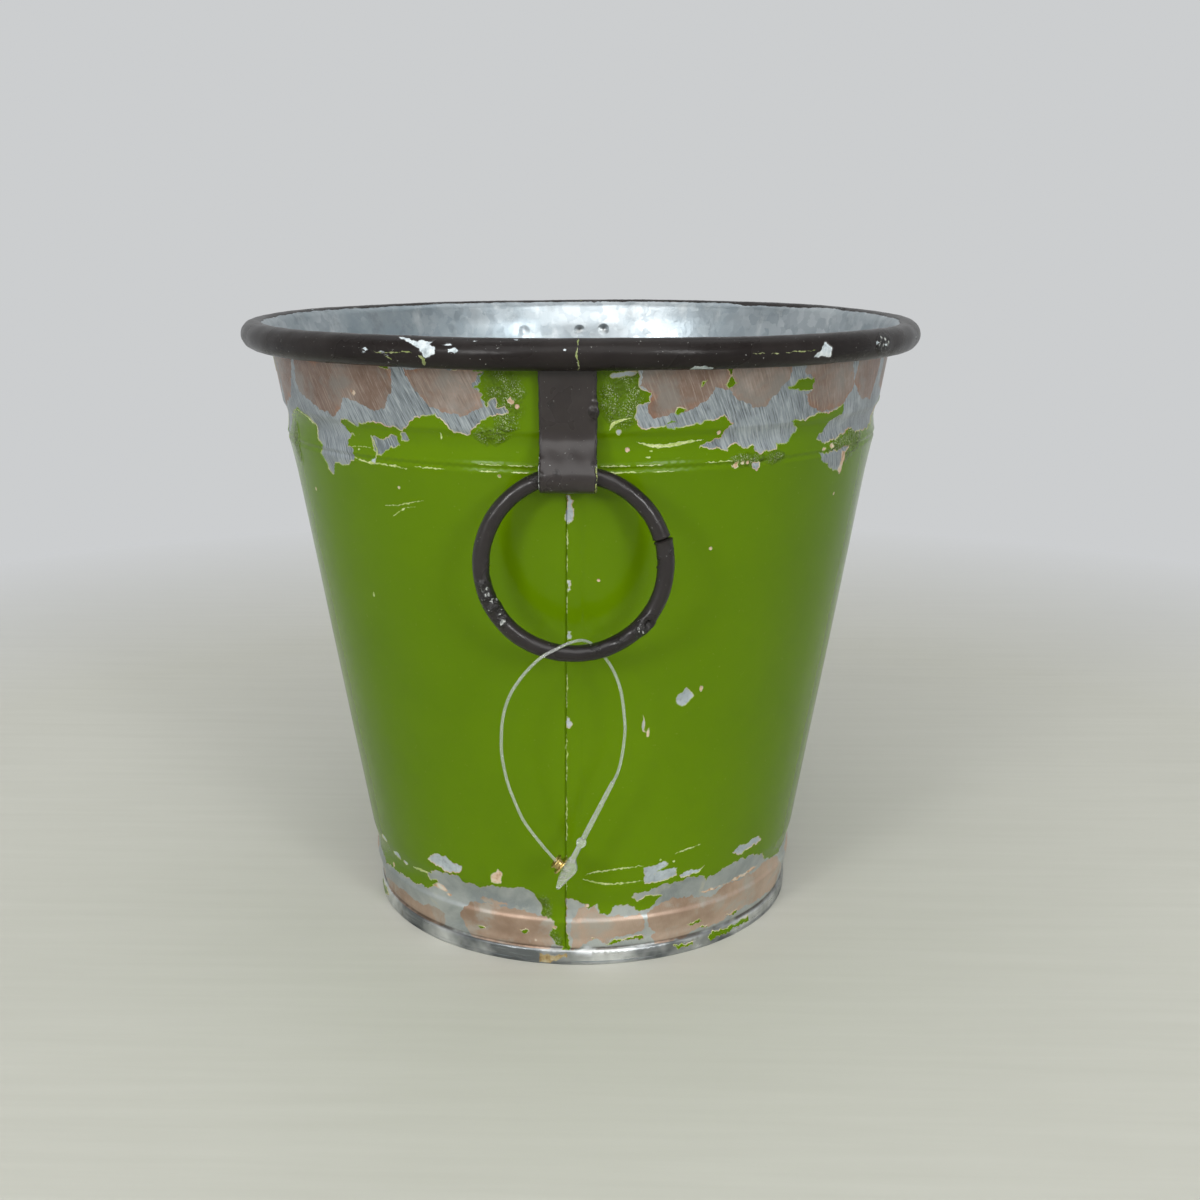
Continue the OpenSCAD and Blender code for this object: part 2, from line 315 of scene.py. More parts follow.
def ragged(points, rng, step=0.55, rough=0.13):
    """The outline with torn-looking edges: each side is halved and pushed sideways until it is short."""
    out = []

    def split(a, b, depth):
        d = math.dist(a, b)
        if d < step or depth > 7:
            out.append(a)
            return
        push = rng.uniform(-1, 1) * rough * min(d, 3.0)
        m = ((a[0] + b[0]) / 2 - (b[1] - a[1]) / d * push, (a[1] + b[1]) / 2 + (b[0] - a[0]) / d * push)
        split(a, m, depth + 1)
        split(m, b, depth + 1)

    for i, point in enumerate(points):
        split(point, points[(i + 1) % len(points)], 0)
    return out


def stroke(points, width, rng):
    """A thin closed outline along a line, fading to points at both ends."""
    left, right = [], []
    n = len(points)
    for i, p in enumerate(points):
        a, b = points[max(0, i - 1)], points[min(n - 1, i + 1)]
        d = math.dist(a, b)
        w = width * 0.5 * math.sin(math.pi * (i + 0.35) / (n - 0.3)) * rng.uniform(0.7, 1.25)
        nx, ny = -(b[1] - a[1]) / d * w, (b[0] - a[0]) / d * w
        left.append((p[0] + nx, p[1] + ny))
        right.append((p[0] - nx, p[1] - ny))
    return left + right[::-1]


def blob(at, height, wide, tall, rng, corners=9):
    """A small chip's outline in skin coordinates."""
    return [(at + wide * math.cos(i * math.tau / corners) * rng.uniform(0.6, 1.2),
             height + tall * math.sin(i * math.tau / corners) * rng.uniform(0.6, 1.2))
            for i in range(corners)]


def inside(points, outline):
    """Which of the points lie inside the closed outline."""
    px, py = points[:, 0], points[:, 1]
    o = np.asarray(outline)
    a, b = o, np.roll(o, -1, axis=0)
    hit = np.zeros(len(px), bool)
    near = np.where((px >= o[:, 0].min()) & (px <= o[:, 0].max()) & (py >= o[:, 1].min())
                    & (py <= o[:, 1].max()))[0]
    for part in np.array_split(near, max(1, len(near) // 4000)):
        x, y = px[part][:, None], py[part][:, None]
        up = (a[:, 1] > y) != (b[:, 1] > y)
        rise = np.where(b[:, 1] == a[:, 1], 1e-9, b[:, 1] - a[:, 1])
        cross = (b[:, 0] - a[:, 0]) * (y - a[:, 1]) / rise + a[:, 0]
        hit[part] = (np.sum(up & (x < cross), axis=1) % 2) == 1
    return hit


def skin(rows, girth, patches, base_kind, place, normal, painted, lines=(), edge_kind="edge", bare=(0, 0)):
    """A skin over the whole round with patches cut into it.

    rows: heights (mm) of its plain rows; patches: (kind, outline in skin mm) with later ones on top;
    lines: extra creases as open polylines, in the stretch called bare, which has no plain points.
    Returns positions, triangles, kinds and corner normals."""
    half = 180 * girth
    columns = np.linspace(-half, half, COLUMNS + 1)
    low, high = rows[0], rows[-1]
    verts, edges = [], []

    def chain(points, closed):
        first = len(verts)
        verts.extend(points)
        edges.extend((first + i, first + i + 1) for i in range(len(points) - 1))
        if closed:
            edges.append((first + len(points) - 1, first))

    border = [(x, low) for x in columns] + [(half, y) for y in rows[1:]]
    border += [(x, high) for x in columns[-2::-1]] + [(-half, y) for y in rows[-2:0:-1]]
    chain(border, True)
    for i, y in enumerate(rows[1:-1]):
        shift = 0.0 if i % 2 else 0.5 * (columns[1] - columns[0])
        verts.extend((x + shift, y) for x in columns[1:-1]
                     if abs(x + shift) < half - END_ROOM and not bare[0] < x + shift < bare[1])
    for line in lines:
        chain([p for p in line if low + 0.3 < p[1] < high - 0.3], False)
    for kind, outline in patches:
        keep = [(min(max(x, -half + SIDE_ROOM), half - SIDE_ROOM),
                 min(max(y, low + END_ROOM), high - END_ROOM))
                for x, y in outline]
        chain(keep, True)
        for side in (FLANK, -FLANK):
            for i in range(0, len(keep)):
                a, b, c = keep[i - 1], keep[i], keep[(i + 1) % len(keep)]
                d = math.dist(a, c)
                if d > 0.05:
                    x, y = b[0] - (c[1] - a[1]) / d * side, b[1] + (c[0] - a[0]) / d * side
                    if abs(x) < half - END_ROOM and low + 0.1 < y < high - 0.1:
                        verts.append((x, y))
    flat, _, tris, _, _, _ = delaunay_2d_cdt([Vector(v) for v in verts], edges, [], 0, 1e-4)
    uv = np.array([tuple(v) for v in flat])
    tris = np.array([tuple(t) for t in tris if len(t) == 3])
    twice = np.cross(uv[tris[:, 1]] - uv[tris[:, 0]], uv[tris[:, 2]] - uv[tris[:, 0]])
    tris = tris[np.abs(twice) > 1e-6]
    twice = twice[np.abs(twice) > 1e-6]
    tris[twice < 0] = tris[twice < 0][:, ::-1]
    middle = uv[tris].mean(axis=1)
    kinds = base_kind(middle).astype(object)
    for kind, outline in patches:
        kinds[inside(middle, outline)] = kind
    paint = np.isin(kinds.astype(str), painted)
    lift = np.full(len(uv), PAINT)
    lift[tris[~paint].ravel()] = 0.0
    fringe = paint & (lift[tris].min(axis=1) == 0)
    kinds[fringe] = edge_kind
    turn, up = uv[:, 0] / girth, uv[:, 1]
    pos = place(turn, up, lift)
    corner = normal(turn, up)[tris]
    own = np.cross(pos[tris[:, 1]] - pos[tris[:, 0]], pos[tris[:, 2]] - pos[tris[:, 0]])
    own /= np.maximum(np.linalg.norm(own, axis=1, keepdims=True), 1e-12)
    flip = np.sum(own * corner.mean(axis=1), axis=1) < 0
    tris[flip] = tris[flip][:, ::-1]
    corner[flip] = corner[flip][:, ::-1]
    own[flip] *= -1
    corner[fringe] = own[fringe][:, None, :]
    return pos, [tuple(t) for t in tris], list(kinds), corner.reshape(-1, 3)


def between_rings(rings, sides):
    """Quads between rings of so many points each, every ring with the next."""
    return [(i * sides + j, i * sides + (j + 1) % sides, (i + 1) * sides + (j + 1) % sides,
             (i + 1) * sides + j)
            for i in range(rings - 1) for j in range(sides)]


def over_ends(rings, sides):
    """The two faces that close the first and the last ring."""
    return [tuple(range(sides))[::-1], tuple((rings - 1) * sides + j for j in range(sides))]


def revolve(rows, kinds):
    """Quads round the axis from rows of positions; kinds has one name per band between rows."""
    pos = np.concatenate([r[:COLUMNS] for r in rows])
    faces = between_rings(len(rows), COLUMNS)
    names = [kind for kind in kinds for _ in range(COLUMNS)]
    f = np.array(faces)
    own = np.cross(pos[f[:, 2]] - pos[f[:, 0]], pos[f[:, 3]] - pos[f[:, 1]])
    soft = np.zeros_like(pos)
    for c in range(4):
        np.add.at(soft, f[:, c], own)
    soft /= np.maximum(np.linalg.norm(soft, axis=1, keepdims=True), 1e-12)
    return pos, faces, names, soft[f].reshape(-1, 3)


def joined(name, parts, slots):
    """One mesh object from several parts in mm whose touching borders share points."""
    pos = np.concatenate([p[0] for p in parts])
    start = np.cumsum([0] + [len(p[0]) for p in parts[:-1]])
    _, first, same = np.unique(np.round(pos, 3), axis=0, return_index=True, return_inverse=True)
    same = same.ravel()
    faces, names, normals = [], [], []
    for s, (_, f, k, n) in zip(start, parts):
        at = 0
        for face, kind in zip(f, k):
            ids = [int(same[s + v]) for v in face]
            if len(set(ids)) == len(ids):
                faces.append(ids)
                names.append(kind)
                normals.append(n[at:at + len(face)])
            at += len(face)
    mesh = bpy.data.meshes.new(name)
    mesh.from_pydata((pos[first] * MM).tolist(), [], faces)
    order = list(slots)
    for kind in order:
        mesh.materials.append(slots[kind])
    mesh.polygons.foreach_set("material_index", [order.index(k) for k in names])
    mesh.polygons.foreach_set("use_smooth", [True] * len(faces))
    mesh.update()
    mesh.normals_split_custom_set(np.concatenate(normals).tolist())
    return link(name, mesh)


# ---------------------------------------------------------------- the marks on the paint
# Bare metal, copper wash and paint left standing on the front, as outlines in degrees from -Y towards +X
# and height in mm. Pale is zinc that was never brushed.
FRONT = [
    # Along the top, left and right of the strap
    ("zinc", [(-68, 222), (-68, 217), (-66, 200), (-60, 200), (-55, 198), (-53, 196), (-52.5, 191),
              (-50.5, 189), (-51.5, 186), (-50, 181), (-48.5, 179.5), (-46.5, 184), (-43.5, 184),
              (-41, 186), (-41, 189), (-42.5, 190), (-42.5, 193), (-41, 195), (-44, 198), (-42, 200),
              (-39, 198), (-35.5, 200), (-31, 199), (-29, 198), (-26, 203), (-22, 204.5), (-19, 198.5),
              (-16.5, 198), (-13, 204), (-9.5, 205.5), (-10, 207.5), (-11.5, 207), (-11.5, 210), (-13, 207),
              (-14, 212.5), (-15, 213), (-13, 218), (-18.5, 218), (-18, 221), (-37, 222.5)]),
    ("zinc", [(11.5, 221), (11, 214), (13, 212), (13, 209), (11, 208), (10.5, 204), (12, 200.5),
              (15.5, 201.5), (17, 200), (19, 201), (22.5, 202.5), (25.5, 204), (27.5, 201), (26, 197.5),
              (22, 194), (25, 193.5), (27, 192), (28, 194), (30, 192.5), (32, 193.5), (33.5, 190),
              (37, 191), (37, 193), (40, 193), (41.5, 197), (39.5, 200), (43, 199.5), (44, 201),
              (50, 201.5), (54, 203), (54, 200.5), (51, 198), (49, 194), (47.5, 192.5), (49, 191),
              (54, 191.5), (58.5, 194), (63, 192), (73, 192.5), (69, 204), (71, 217), (38, 221)]),
    ("zinc", [(-36.5, 195), (-33.5, 194), (-30.5, 195.5), (-30, 193), (-32, 192.5), (-35, 189), (-36, 192)]),
    ("zinc", [(-29.5, 196.5), (-28.5, 197), (-28, 195), (-29.5, 194.5)]),
    ("pale", [(-36.5, 187), (-35.5, 187.5), (-35.5, 186), (-36.5, 186)]),
    ("zinc", [(48.5, 187.5), (50, 184), (57, 178), (57, 186), (59, 187.5), (53, 187.5)]),
    ("zinc", [(32, 187), (33.5, 187), (33, 184.5), (32, 186)]),
    # Round the foot, left and right of the seam
    ("zinc", [(-66, 19), (-66, 16), (-62, 18), (-54, 20), (-48, 19.5), (-42, 20), (-39, 22.5), (-37.5, 25),
              (-40.5, 24.5), (-41, 27), (-39, 29), (-37, 30), (-33, 30), (-30.5, 31), (-29, 28.5),
              (-23, 28.5), (-20.5, 30), (-15, 30), (-13, 31), (-10, 29), (-8.5, 25), (-8, 19), (-5, 17.5),
              (-6.5, 12), (-5, 8), (-3, 7), (-3, 2), (-66, 2)]),
    ("zinc", [(-2, 27.5), (0.5, 27), (2.5, 24.5), (3.5, 22.5), (5.5, 25), (6, 21), (8, 20), (10, 24),
              (13, 24), (16, 20.5), (19.5, 22), (22, 26), (19, 27), (15.5, 25), (14, 27), (14.5, 28.5),
              (18, 28.5), (22, 31), (29, 31.5), (32.5, 31), (34, 28), (35, 30), (40, 31.5), (45.5, 32.5),
              (50, 32), (54, 30), (58, 25), (64, 22.5), (73, 22), (73, 2), (-1.5, 2)]),
    ("pale", [(-39.5, 34), (-37, 37), (-33, 38), (-30, 36), (-28.5, 35.5), (-29, 33.5), (-33, 31.5),
              (-36, 33)]),
    ("pale", [(16.5, 39), (19, 39.5), (22.5, 39.5), (20, 37), (19, 35.5), (22, 37), (25, 37), (25, 34),
              (21, 32.5), (17, 32.5), (17, 36)]),
    ("pale", [(26, 33.5), (29, 35), (32, 34.5), (31, 33), (27, 32.5)]),
    ("pale", [(41.5, 37), (44, 39), (47.5, 38.5), (50, 39), (52.5, 37), (48, 36), (44, 35)]),
    # Beside the lock seam
    ("pale", [(-0.5, 179), (0, 179), (0.5, 172), (0, 170), (-0.5, 170)]),
    ("pale", [(-0.5, 150), (0, 150), (0, 147), (-0.5, 146.5)]),
    ("pale", [(-0.5, 132), (0, 132), (0, 129.5), (-0.5, 129.5)]),
    ("pale", [(-1, 100), (-0.5, 100), (0, 98), (-0.5, 96.5), (-1, 97)]),
    # Copper lobes under the rim
    ("copper", [(-56, 219), (-32, 219.5), (-29.5, 218), (-30, 210), (-32, 204.5), (-35, 204), (-38, 206),
                (-41.5, 207), (-43.5, 202), (-45, 200), (-51, 203), (-56.5, 206.5), (-57.5, 210)]),
    ("copper", [(-68.5, 218), (-57, 219), (-59, 211), (-62, 204), (-68, 200)]),
    ("copper", [(-27, 218.5), (-13, 218.5), (-15, 213), (-13.5, 211), (-13.5, 207), (-16, 205),
                (-17.5, 203.5), (-20, 205), (-22, 206), (-24, 209), (-26, 214)]),
    ("copper", [(11.5, 221), (11, 214), (13, 212), (13, 209), (12.5, 207.5), (13.5, 203.5), (16, 204.5),
                (20, 206), (22.5, 209), (23.5, 213), (26, 212), (28, 208), (31, 205.5), (33, 205.5),
                (35, 209), (37, 213), (38, 217), (38, 220)]),
    ("copper", [(41.5, 221), (41, 216), (43.5, 213.5), (43.5, 209.5), (42, 208.5), (44, 204), (48, 202),
                (53, 203), (56, 208), (56, 211), (54, 219.5)]),
    ("copper", [(57, 219.5), (56.5, 210), (59, 206), (62, 203.5), (66.5, 203), (68.5, 217)]),
    # Copper round the foot
    ("copper", [(-70, 8), (-61, 12), (-56, 12.5), (-47, 11.5), (-41, 13), (-36.5, 12), (-37, 7), (-41, 2.5),
                (-50, 3), (-63, 3), (-67, 5)]),
    ("copper", [(-30, 16.5), (-28, 19.5), (-25, 21), (-18, 21.5), (-12, 20.5), (-8, 19.5), (-5, 18),
                (-6.5, 12), (-5, 8), (-7, 5.5), (-14, 5), (-27, 5), (-29, 8), (-31, 13)]),
    ("copper", [(-24.5, 22.5), (-23, 24), (-20, 23.5), (-16.5, 22.5), (-19, 22), (-23.5, 22)]),
    ("copper", [(-0.5, 19.5), (1, 23.5), (2.5, 24), (3.5, 22), (5, 24.5), (6, 21), (8, 19.5), (12, 19.5),
                (16, 20), (17.5, 16), (17, 12), (12, 10.5), (10.5, 11), (8, 8), (6, 10), (3, 8.5),
                (-0.5, 5.5), (-1, 12)]),
    ("copper", [(18, 19.5), (20, 21.5), (26, 23.5), (30.5, 23.5), (31, 22), (38, 21), (42, 23.5),
                (56, 23.5), (67.5, 21), (75, 9.5), (69, 6.5), (52, 9), (34, 8.5), (28, 5.5), (20.5, 6),
                (19.5, 9), (21, 11), (18.5, 13.5)]),
    # Paint still standing
    ("green", [(-32, 219.5), (-29, 219.5), (-30, 217.5), (-31.5, 218)]),
    ("green", [(25.5, 219.5), (26.5, 219.5), (26.5, 216), (27.5, 214), (26.5, 212.5), (25, 213.5),
               (26, 216)]),
    ("green", [(21, 213), (21, 214.5), (22, 215.5), (21.5, 213.5)]),
    ("green", [(34, 219.5), (35.5, 220), (35.5, 218.5), (34.5, 218.5)]),
    ("green", [(37.5, 211.5), (39, 212), (40.5, 214), (43.5, 214), (43.5, 209.5), (42, 209.5), (39, 210.5)]),
    ("green", [(17, 205), (17.5, 207), (19, 206), (18.5, 205)]),
    ("green", [(15.5, 202), (16.5, 203), (17.5, 202), (16, 201.5)]),
    ("green", [(-26.5, 11), (-25, 11.5), (-23.5, 10.5), (-25, 10)]),
    ("green", [(-14, 13), (-12.5, 14), (-11.5, 12.5), (-13, 11)]),
    ("ochre", [(-9, 4), (-2, 4.5), (-2, 3), (-5.5, 1.5), (-6, 1), (-9, 0.5)]),
    ("green", [(7.5, 7.5), (10, 10), (15, 10.5), (17.5, 10), (17.5, 8.5), (11, 8.5)]),
    ("green", [(29.5, 11), (30.5, 12), (34, 11.5), (34, 10.5), (32, 10.5)]),
    ("green", [(33.5, 8.5), (36, 8.5), (36, 7.5), (34.5, 8)]),
    ("green", [(42.5, 10), (47, 10), (47, 8.5), (44, 8.5)]),
    ("green", [(35.5, 4), (39, 5), (45, 4.5), (51.5, 5.5), (52, 2.5), (42, 2), (37, 1.5)]),
    ("green", [(25.5, 4.5), (31.5, 4), (31.5, 2), (27.5, 2)]),
    ("green", [(4, 11), (5, 11), (4.5, 10)]),
    # Cream and orange primer
    ("primer", [(-20.5, 33.5), (-20.5, 31.5), (-18, 32), (-17.5, 35), (-18.5, 37.5), (-20, 35)]),
    ("primer", [(28, 186.5), (29, 188), (29, 186.5), (28.5, 186)]),
    ("primer", [(-9, 210.5), (-8.5, 209), (-9, 208.5), (-9.5, 209.5)]),
    ("primer", [(-38.5, 210), (-38, 209), (-38.5, 208), (-39, 209)]),
    ("primer", [(57, 178), (57.5, 182.5), (57, 186), (56, 186.5), (56.5, 182), (56, 179.5)]),
    ("primer", [(40, 23.5), (46, 25), (54, 25), (53, 24), (44, 23.5)]),
    ("primer", [(33, 23.5), (39.5, 23.5), (39.5, 23), (36, 23)]),
]
# Scuffs in the green paint: width in mm, then the line they follow
SCUFFS = [
    (1.3, [(11, 196), (13, 195), (15.5, 194.5), (18, 195), (20, 195.5), (22.5, 196)]),
    (1, [(6.5, 200), (7, 202), (8, 203), (10, 204)]),
    (0.7, [(2, 36), (4, 35), (6.5, 34), (9, 33.5), (12.5, 33.5), (16.5, 34)]),
    (0.4, [(2.5, 37.5), (5, 39), (9, 39.5), (12.5, 40), (16.5, 40)]),
    (0.5, [(24, 43), (26.5, 44), (29, 44.5), (31, 45)]),
    (0.7, [(-41, 187), (-37, 186), (-33, 186), (-28.5, 185.5)]),
    (0.4, [(-41.5, 190.5), (-39, 191), (-36.5, 191)]),
    (1.4, [(-47, 26.5), (-44, 27), (-40.5, 27.5)]),
    (0.4, [(-36.5, 195), (-35.5, 192), (-35, 189), (-36, 186.5)]),
    (0.8, [(-60, 200), (-56.5, 198.5), (-53.5, 195.5)]),
    (0.4, [(-35, 171.5), (-31.5, 172.5), (-28.5, 174), (-26, 175)]),
    (0.3, [(-33.5, 168), (-30.5, 171.5), (-28, 172.5)]),
]
# Scuffs along the ridge's crest and its foot, where its highlight lines fall, so worn paint and also painted
# highlights: width, from and to in degrees, height in mm
RIDGE_WEAR_AND_HIGHLIGHTS = [
    (0.35, 5, 10, 188.5), (0.3, 11, 15.5, 188.5), (0.4, 5, 12.5, 186.3), (0.25, 13.5, 17.5, 186.3),
    (0.35, -5.5, -10, 188.5), (0.25, -11, -15, 188.5), (0.35, -6.5, -9.5, 186.3), (0.3, -11.5, -15, 186.3),
    (0.35, 22.5, 28, 188.5), (0.3, -27, -21, 186.3),
]
# Scuffs beside the lock seam: width, from and to in mm above the floor
SEAM_SCUFFS = [(0.45, 168, 161), (0.3, 159, 153), (0.3, 145, 138), (0.35, 128, 121), (0.3, 117, 104),
               (0.3, 94, 76), (0.35, 70, 52), (0.4, 46, 31)]
# The parts of the band and foot that the front doesn't reach, either side of the bucket
SIDES = [
    ("zinc", [(-60, 222), (-61, 203), (-63, 198), (-67, 196), (-70, 190), (-73, 186), (-75, 191), (-78, 198),
              (-82, 201), (-86, 199), (-89, 203), (-94, 200), (-97, 194), (-99, 189), (-102, 193),
              (-104, 200), (-108, 203), (-112, 207), (-114, 222)]),
    ("zinc", [(60, 222), (61, 196), (66, 192), (69, 191), (73, 193), (76, 198), (80, 201), (84, 199),
              (88, 196), (91, 199), (95, 203), (99, 201), (103, 197), (107, 201), (110, 206), (113, 222)]),
    ("zinc", [(-60, 2), (-60, 19), (-64, 18), (-70, 21), (-75, 25), (-79, 24), (-84, 28), (-88, 31),
              (-93, 30), (-96, 26), (-101, 24), (-105, 27), (-109, 22), (-113, 21), (-116, 2)]),
    ("zinc", [(62, 2), (62, 23), (67, 22), (72, 23), (77, 27), (82, 29), (86, 26), (91, 23), (96, 25),
              (101, 30), (106, 31), (111, 27), (115, 22), (117, 2)]),
    ("copper", [(-69, 221), (-69, 210), (-72, 203), (-77, 204), (-81, 209), (-84, 206), (-89, 208),
                (-92, 214), (-91, 221)]),
    ("copper", [(-96, 221), (-97, 212), (-101, 205), (-105, 207), (-109, 212), (-110, 221)]),
    ("copper", [(72, 221), (72, 206), (77, 203), (82, 207), (85, 212), (84, 221)]),
    ("copper", [(90, 221), (89, 212), (93, 206), (99, 208), (104, 205), (108, 211), (109, 221)]),
    ("copper", [(-72, 6), (-72, 14), (-77, 20), (-84, 22), (-91, 19), (-95, 13), (-93, 7), (-86, 5),
                (-79, 7)]),
    ("copper", [(-100, 5), (-101, 15), (-106, 20), (-112, 17), (-114, 9), (-109, 6)]),
    ("copper", [(76, 8), (76, 20), (81, 22), (88, 20), (93, 21), (97, 14), (95, 7), (86, 9)]),
    ("copper", [(102, 6), (101, 18), (107, 22), (113, 17), (112, 8)]),
    ("green", [(-78, 216), (-76, 216.5), (-75, 213), (-76, 210), (-78, 211), (-79, 209), (-79.5, 213)]),
    ("green", [(95, 215), (97, 216), (98, 213), (97, 210.5), (95, 212), (94, 210.5)]),
    ("green", [(-84, 12), (-80, 13), (-80, 10), (-84, 10)]),
    ("green", [(84, 14), (89, 15), (90, 12), (85, 12)]),
    ("green", [(-76, 4), (-69, 5), (-66, 3), (-70, 1), (-77, 2)]),
    ("green", [(98, 4), (106, 4.6), (108, 2), (99, 1.4)]),
]
# Lone chips: turn, height, half width and half height in mm, kind
CHIPS = [
    (23, 105.5, 3, 3, "pale"), (26.5, 108, 0.5, 1, "primer"), (14.5, 96.5, 0.4, 2, "pale"),
    (15.5, 93, 0.4, 1.5, "primer"), (-42.5, 137.5, 0.5, 1, "scuff"), (-58, 171.5, 0.4, 0.5, "primer"),
    (9.5, 193.5, 0.5, 0.6, "primer"), (25.5, 159, 0.4, 0.4, "primer"), (-11.5, 185, 0.4, 0.4, "primer"),
    (56.5, 171, 0.4, 0.4, "primer"), (5, 150, 0.3, 0.3, "primer"), (-31, 178.5, 0.3, 0.3, "primer"),
    (-39.5, 190, 0.5, 0.4, "scuff"), (49.5, 188.5, 1, 0.7, "primer"), (52, 189, 1.2, 0.8, "primer"),
    (30, 187.5, 0.5, 0.5, "primer"), (31, 187.5, 0.4, 0.4, "primer"), (25, 198, 0.5, 0.6, "primer"),
    (8, 199.5, 0.8, 0.9, "pale"), (7.5, 217.5, 2.6, 1, "pale"), (9.5, 218, 2, 0.8, "pale"),
    (-8, 207.5, 0.5, 0.6, "primer"), (-21.5, 197, 0.3, 1.2, "scuff"), (13, 191, 0.8, 0.3, "scuff"),
    (13.5, 193, 0.5, 0.3, "scuff"), (3, 24.5, 1, 0.6, "primer"), (-5, 15.5, 1.2, 0.6, "primer"),
    (-10, 9, 0.5, 0.4, "primer"), (-37, 23, 5, 1.2, "primer"), (-34, 21, 2, 0.6, "primer"),
    (-58.5, 21, 1.2, 0.9, "primer"), (-62, 30.5, 3.5, 1.3, "pale"), (-55, 27.5, 4, 1.4, "pale"),
    (-50.5, 26.5, 2, 0.7, "pale"), (20.5, 41.5, 0.5, 0.5, "scuff"), (24, 40, 0.7, 0.5, "scuff"),
]
# Blistered paint: turn, height, half width and half height in mm
BLISTERS = [
    (-10, 211.5, 5.5, 8.5), (-12.5, 198, 5, 2.5), (-10, 201.5, 3.5, 2), (8.5, 210.5, 6, 9.5),
    (31, 188.5, 6.5, 2), (36.5, 188.5, 4, 2), (55.5, 187, 9, 5), (61, 190.5, 6, 5), (-64, 187, 4, 7),
    (171, 210, 6, 9), (-170, 207, 7, 8), (-7.5, 22.5, 3, 6), (-5, 9.5, 3, 4), (110, 190, 9, 5),
    (-128, 188, 9, 4),
]
# Chips in the rim's brown paint: kind, outline as (turn, degrees round the rolled section)
RIM_CHIPS = [
    ("white", [(-25, 71), (-23.5, 63), (-21.5, 45), (-21, 56), (-19, 52), (-19.5, 36), (-18.5, 25),
               (-18.5, 0), (-19.5, -12), (-20, -16), (-21, 20), (-22.5, 38)]),
    ("yellow", [(-21, -6), (-20, -14), (-20, -34), (-20.5, -52), (-20.5, -20)]),
    ("white", [(-30.5, 9), (-30, 15), (-29.5, 6), (-30, 1)]), ("white", [(-30.5, 0), (-30, -2), (-30.5, -5)]),
    ("white", [(-27.5, 2), (-27, 4), (-26.5, -2), (-27, -4)]),
    ("white", [(-26.5, -7), (-26, -10), (-26, -14)]),
    ("yellow", [(-26.5, -15), (-26, -15), (-25.5, -24), (-25.5, -28), (-26, -22)]),
    ("yellow", [(-28.5, 3), (-27, 1), (-24, 2), (-22, 1), (-24, 0), (-27, -2)]),
    ("white", [(-16.5, 20), (-15.5, 26), (-15, 14), (-15.5, 4), (-16.5, 8)]),
    ("white", [(-17.5, 36), (-16.5, 41), (-16, 36), (-16.5, 33)]),
    ("yellow", [(1.5, 92), (1.6, 92), (1.65, 50), (1.6, 20), (1.7, -30), (1.65, -80), (1.55, -80),
                (1.55, -30), (1.5, 20), (1.55, 50)]),
    ("white", [(-7.5, 80), (-7, 74), (-6.5, 64), (-7, 66)]), ("white", [(-13, 60), (-12.5, 57), (-13, 54)]),
    ("yellow", [(26.5, 1), (28, 2), (28.5, -1), (27, -2)]), ("yellow", [(29.5, -3), (31, -2), (30.5, -5)]),
    ("yellow", [(32, 1), (34, 3), (37.5, 4), (36, 2), (33, 0)]),
    ("white", [(37.5, -24), (38.5, -4), (39.5, 26), (40, 32), (41, 8), (41, -28)]),
    ("white", [(17.5, -84), (18, -46), (19.5, -46), (21, -60), (21, -84)]),
    ("white", [(52, 16), (52.5, 19), (53, 10), (52, 4)]), ("white", [(54.5, 2), (55.5, 6), (55.5, -6)]),
]
# Roughed paint on the rim: turn, height, half width and half height in mm
RIM_WEAR = [(54.5, 224, 4.5, 3), (-146, 225, 4, 3.5), (118, 226, 4, 4)]


# ---------------------------------------------------------------- materials
def streaks(n, lean, along, across, detail=3.0):
    """Brush marks on the wall: noise drawn out along a line that leans by so many degrees from upright."""
    s, z = n.round_wall()
    c, d = math.cos(math.radians(lean)), math.sin(math.radians(lean))
    u = n.math("ADD", n.math("MULTIPLY", s, c), n.math("MULTIPLY", z, d))
    v = n.math("SUBTRACT", n.math("MULTIPLY", z, c), n.math("MULTIPLY", s, d))
    return n.noise(1.0, detail, 0.6, n.join(n.math("MULTIPLY", u, across), n.math("MULTIPLY", v, along), 0.0))


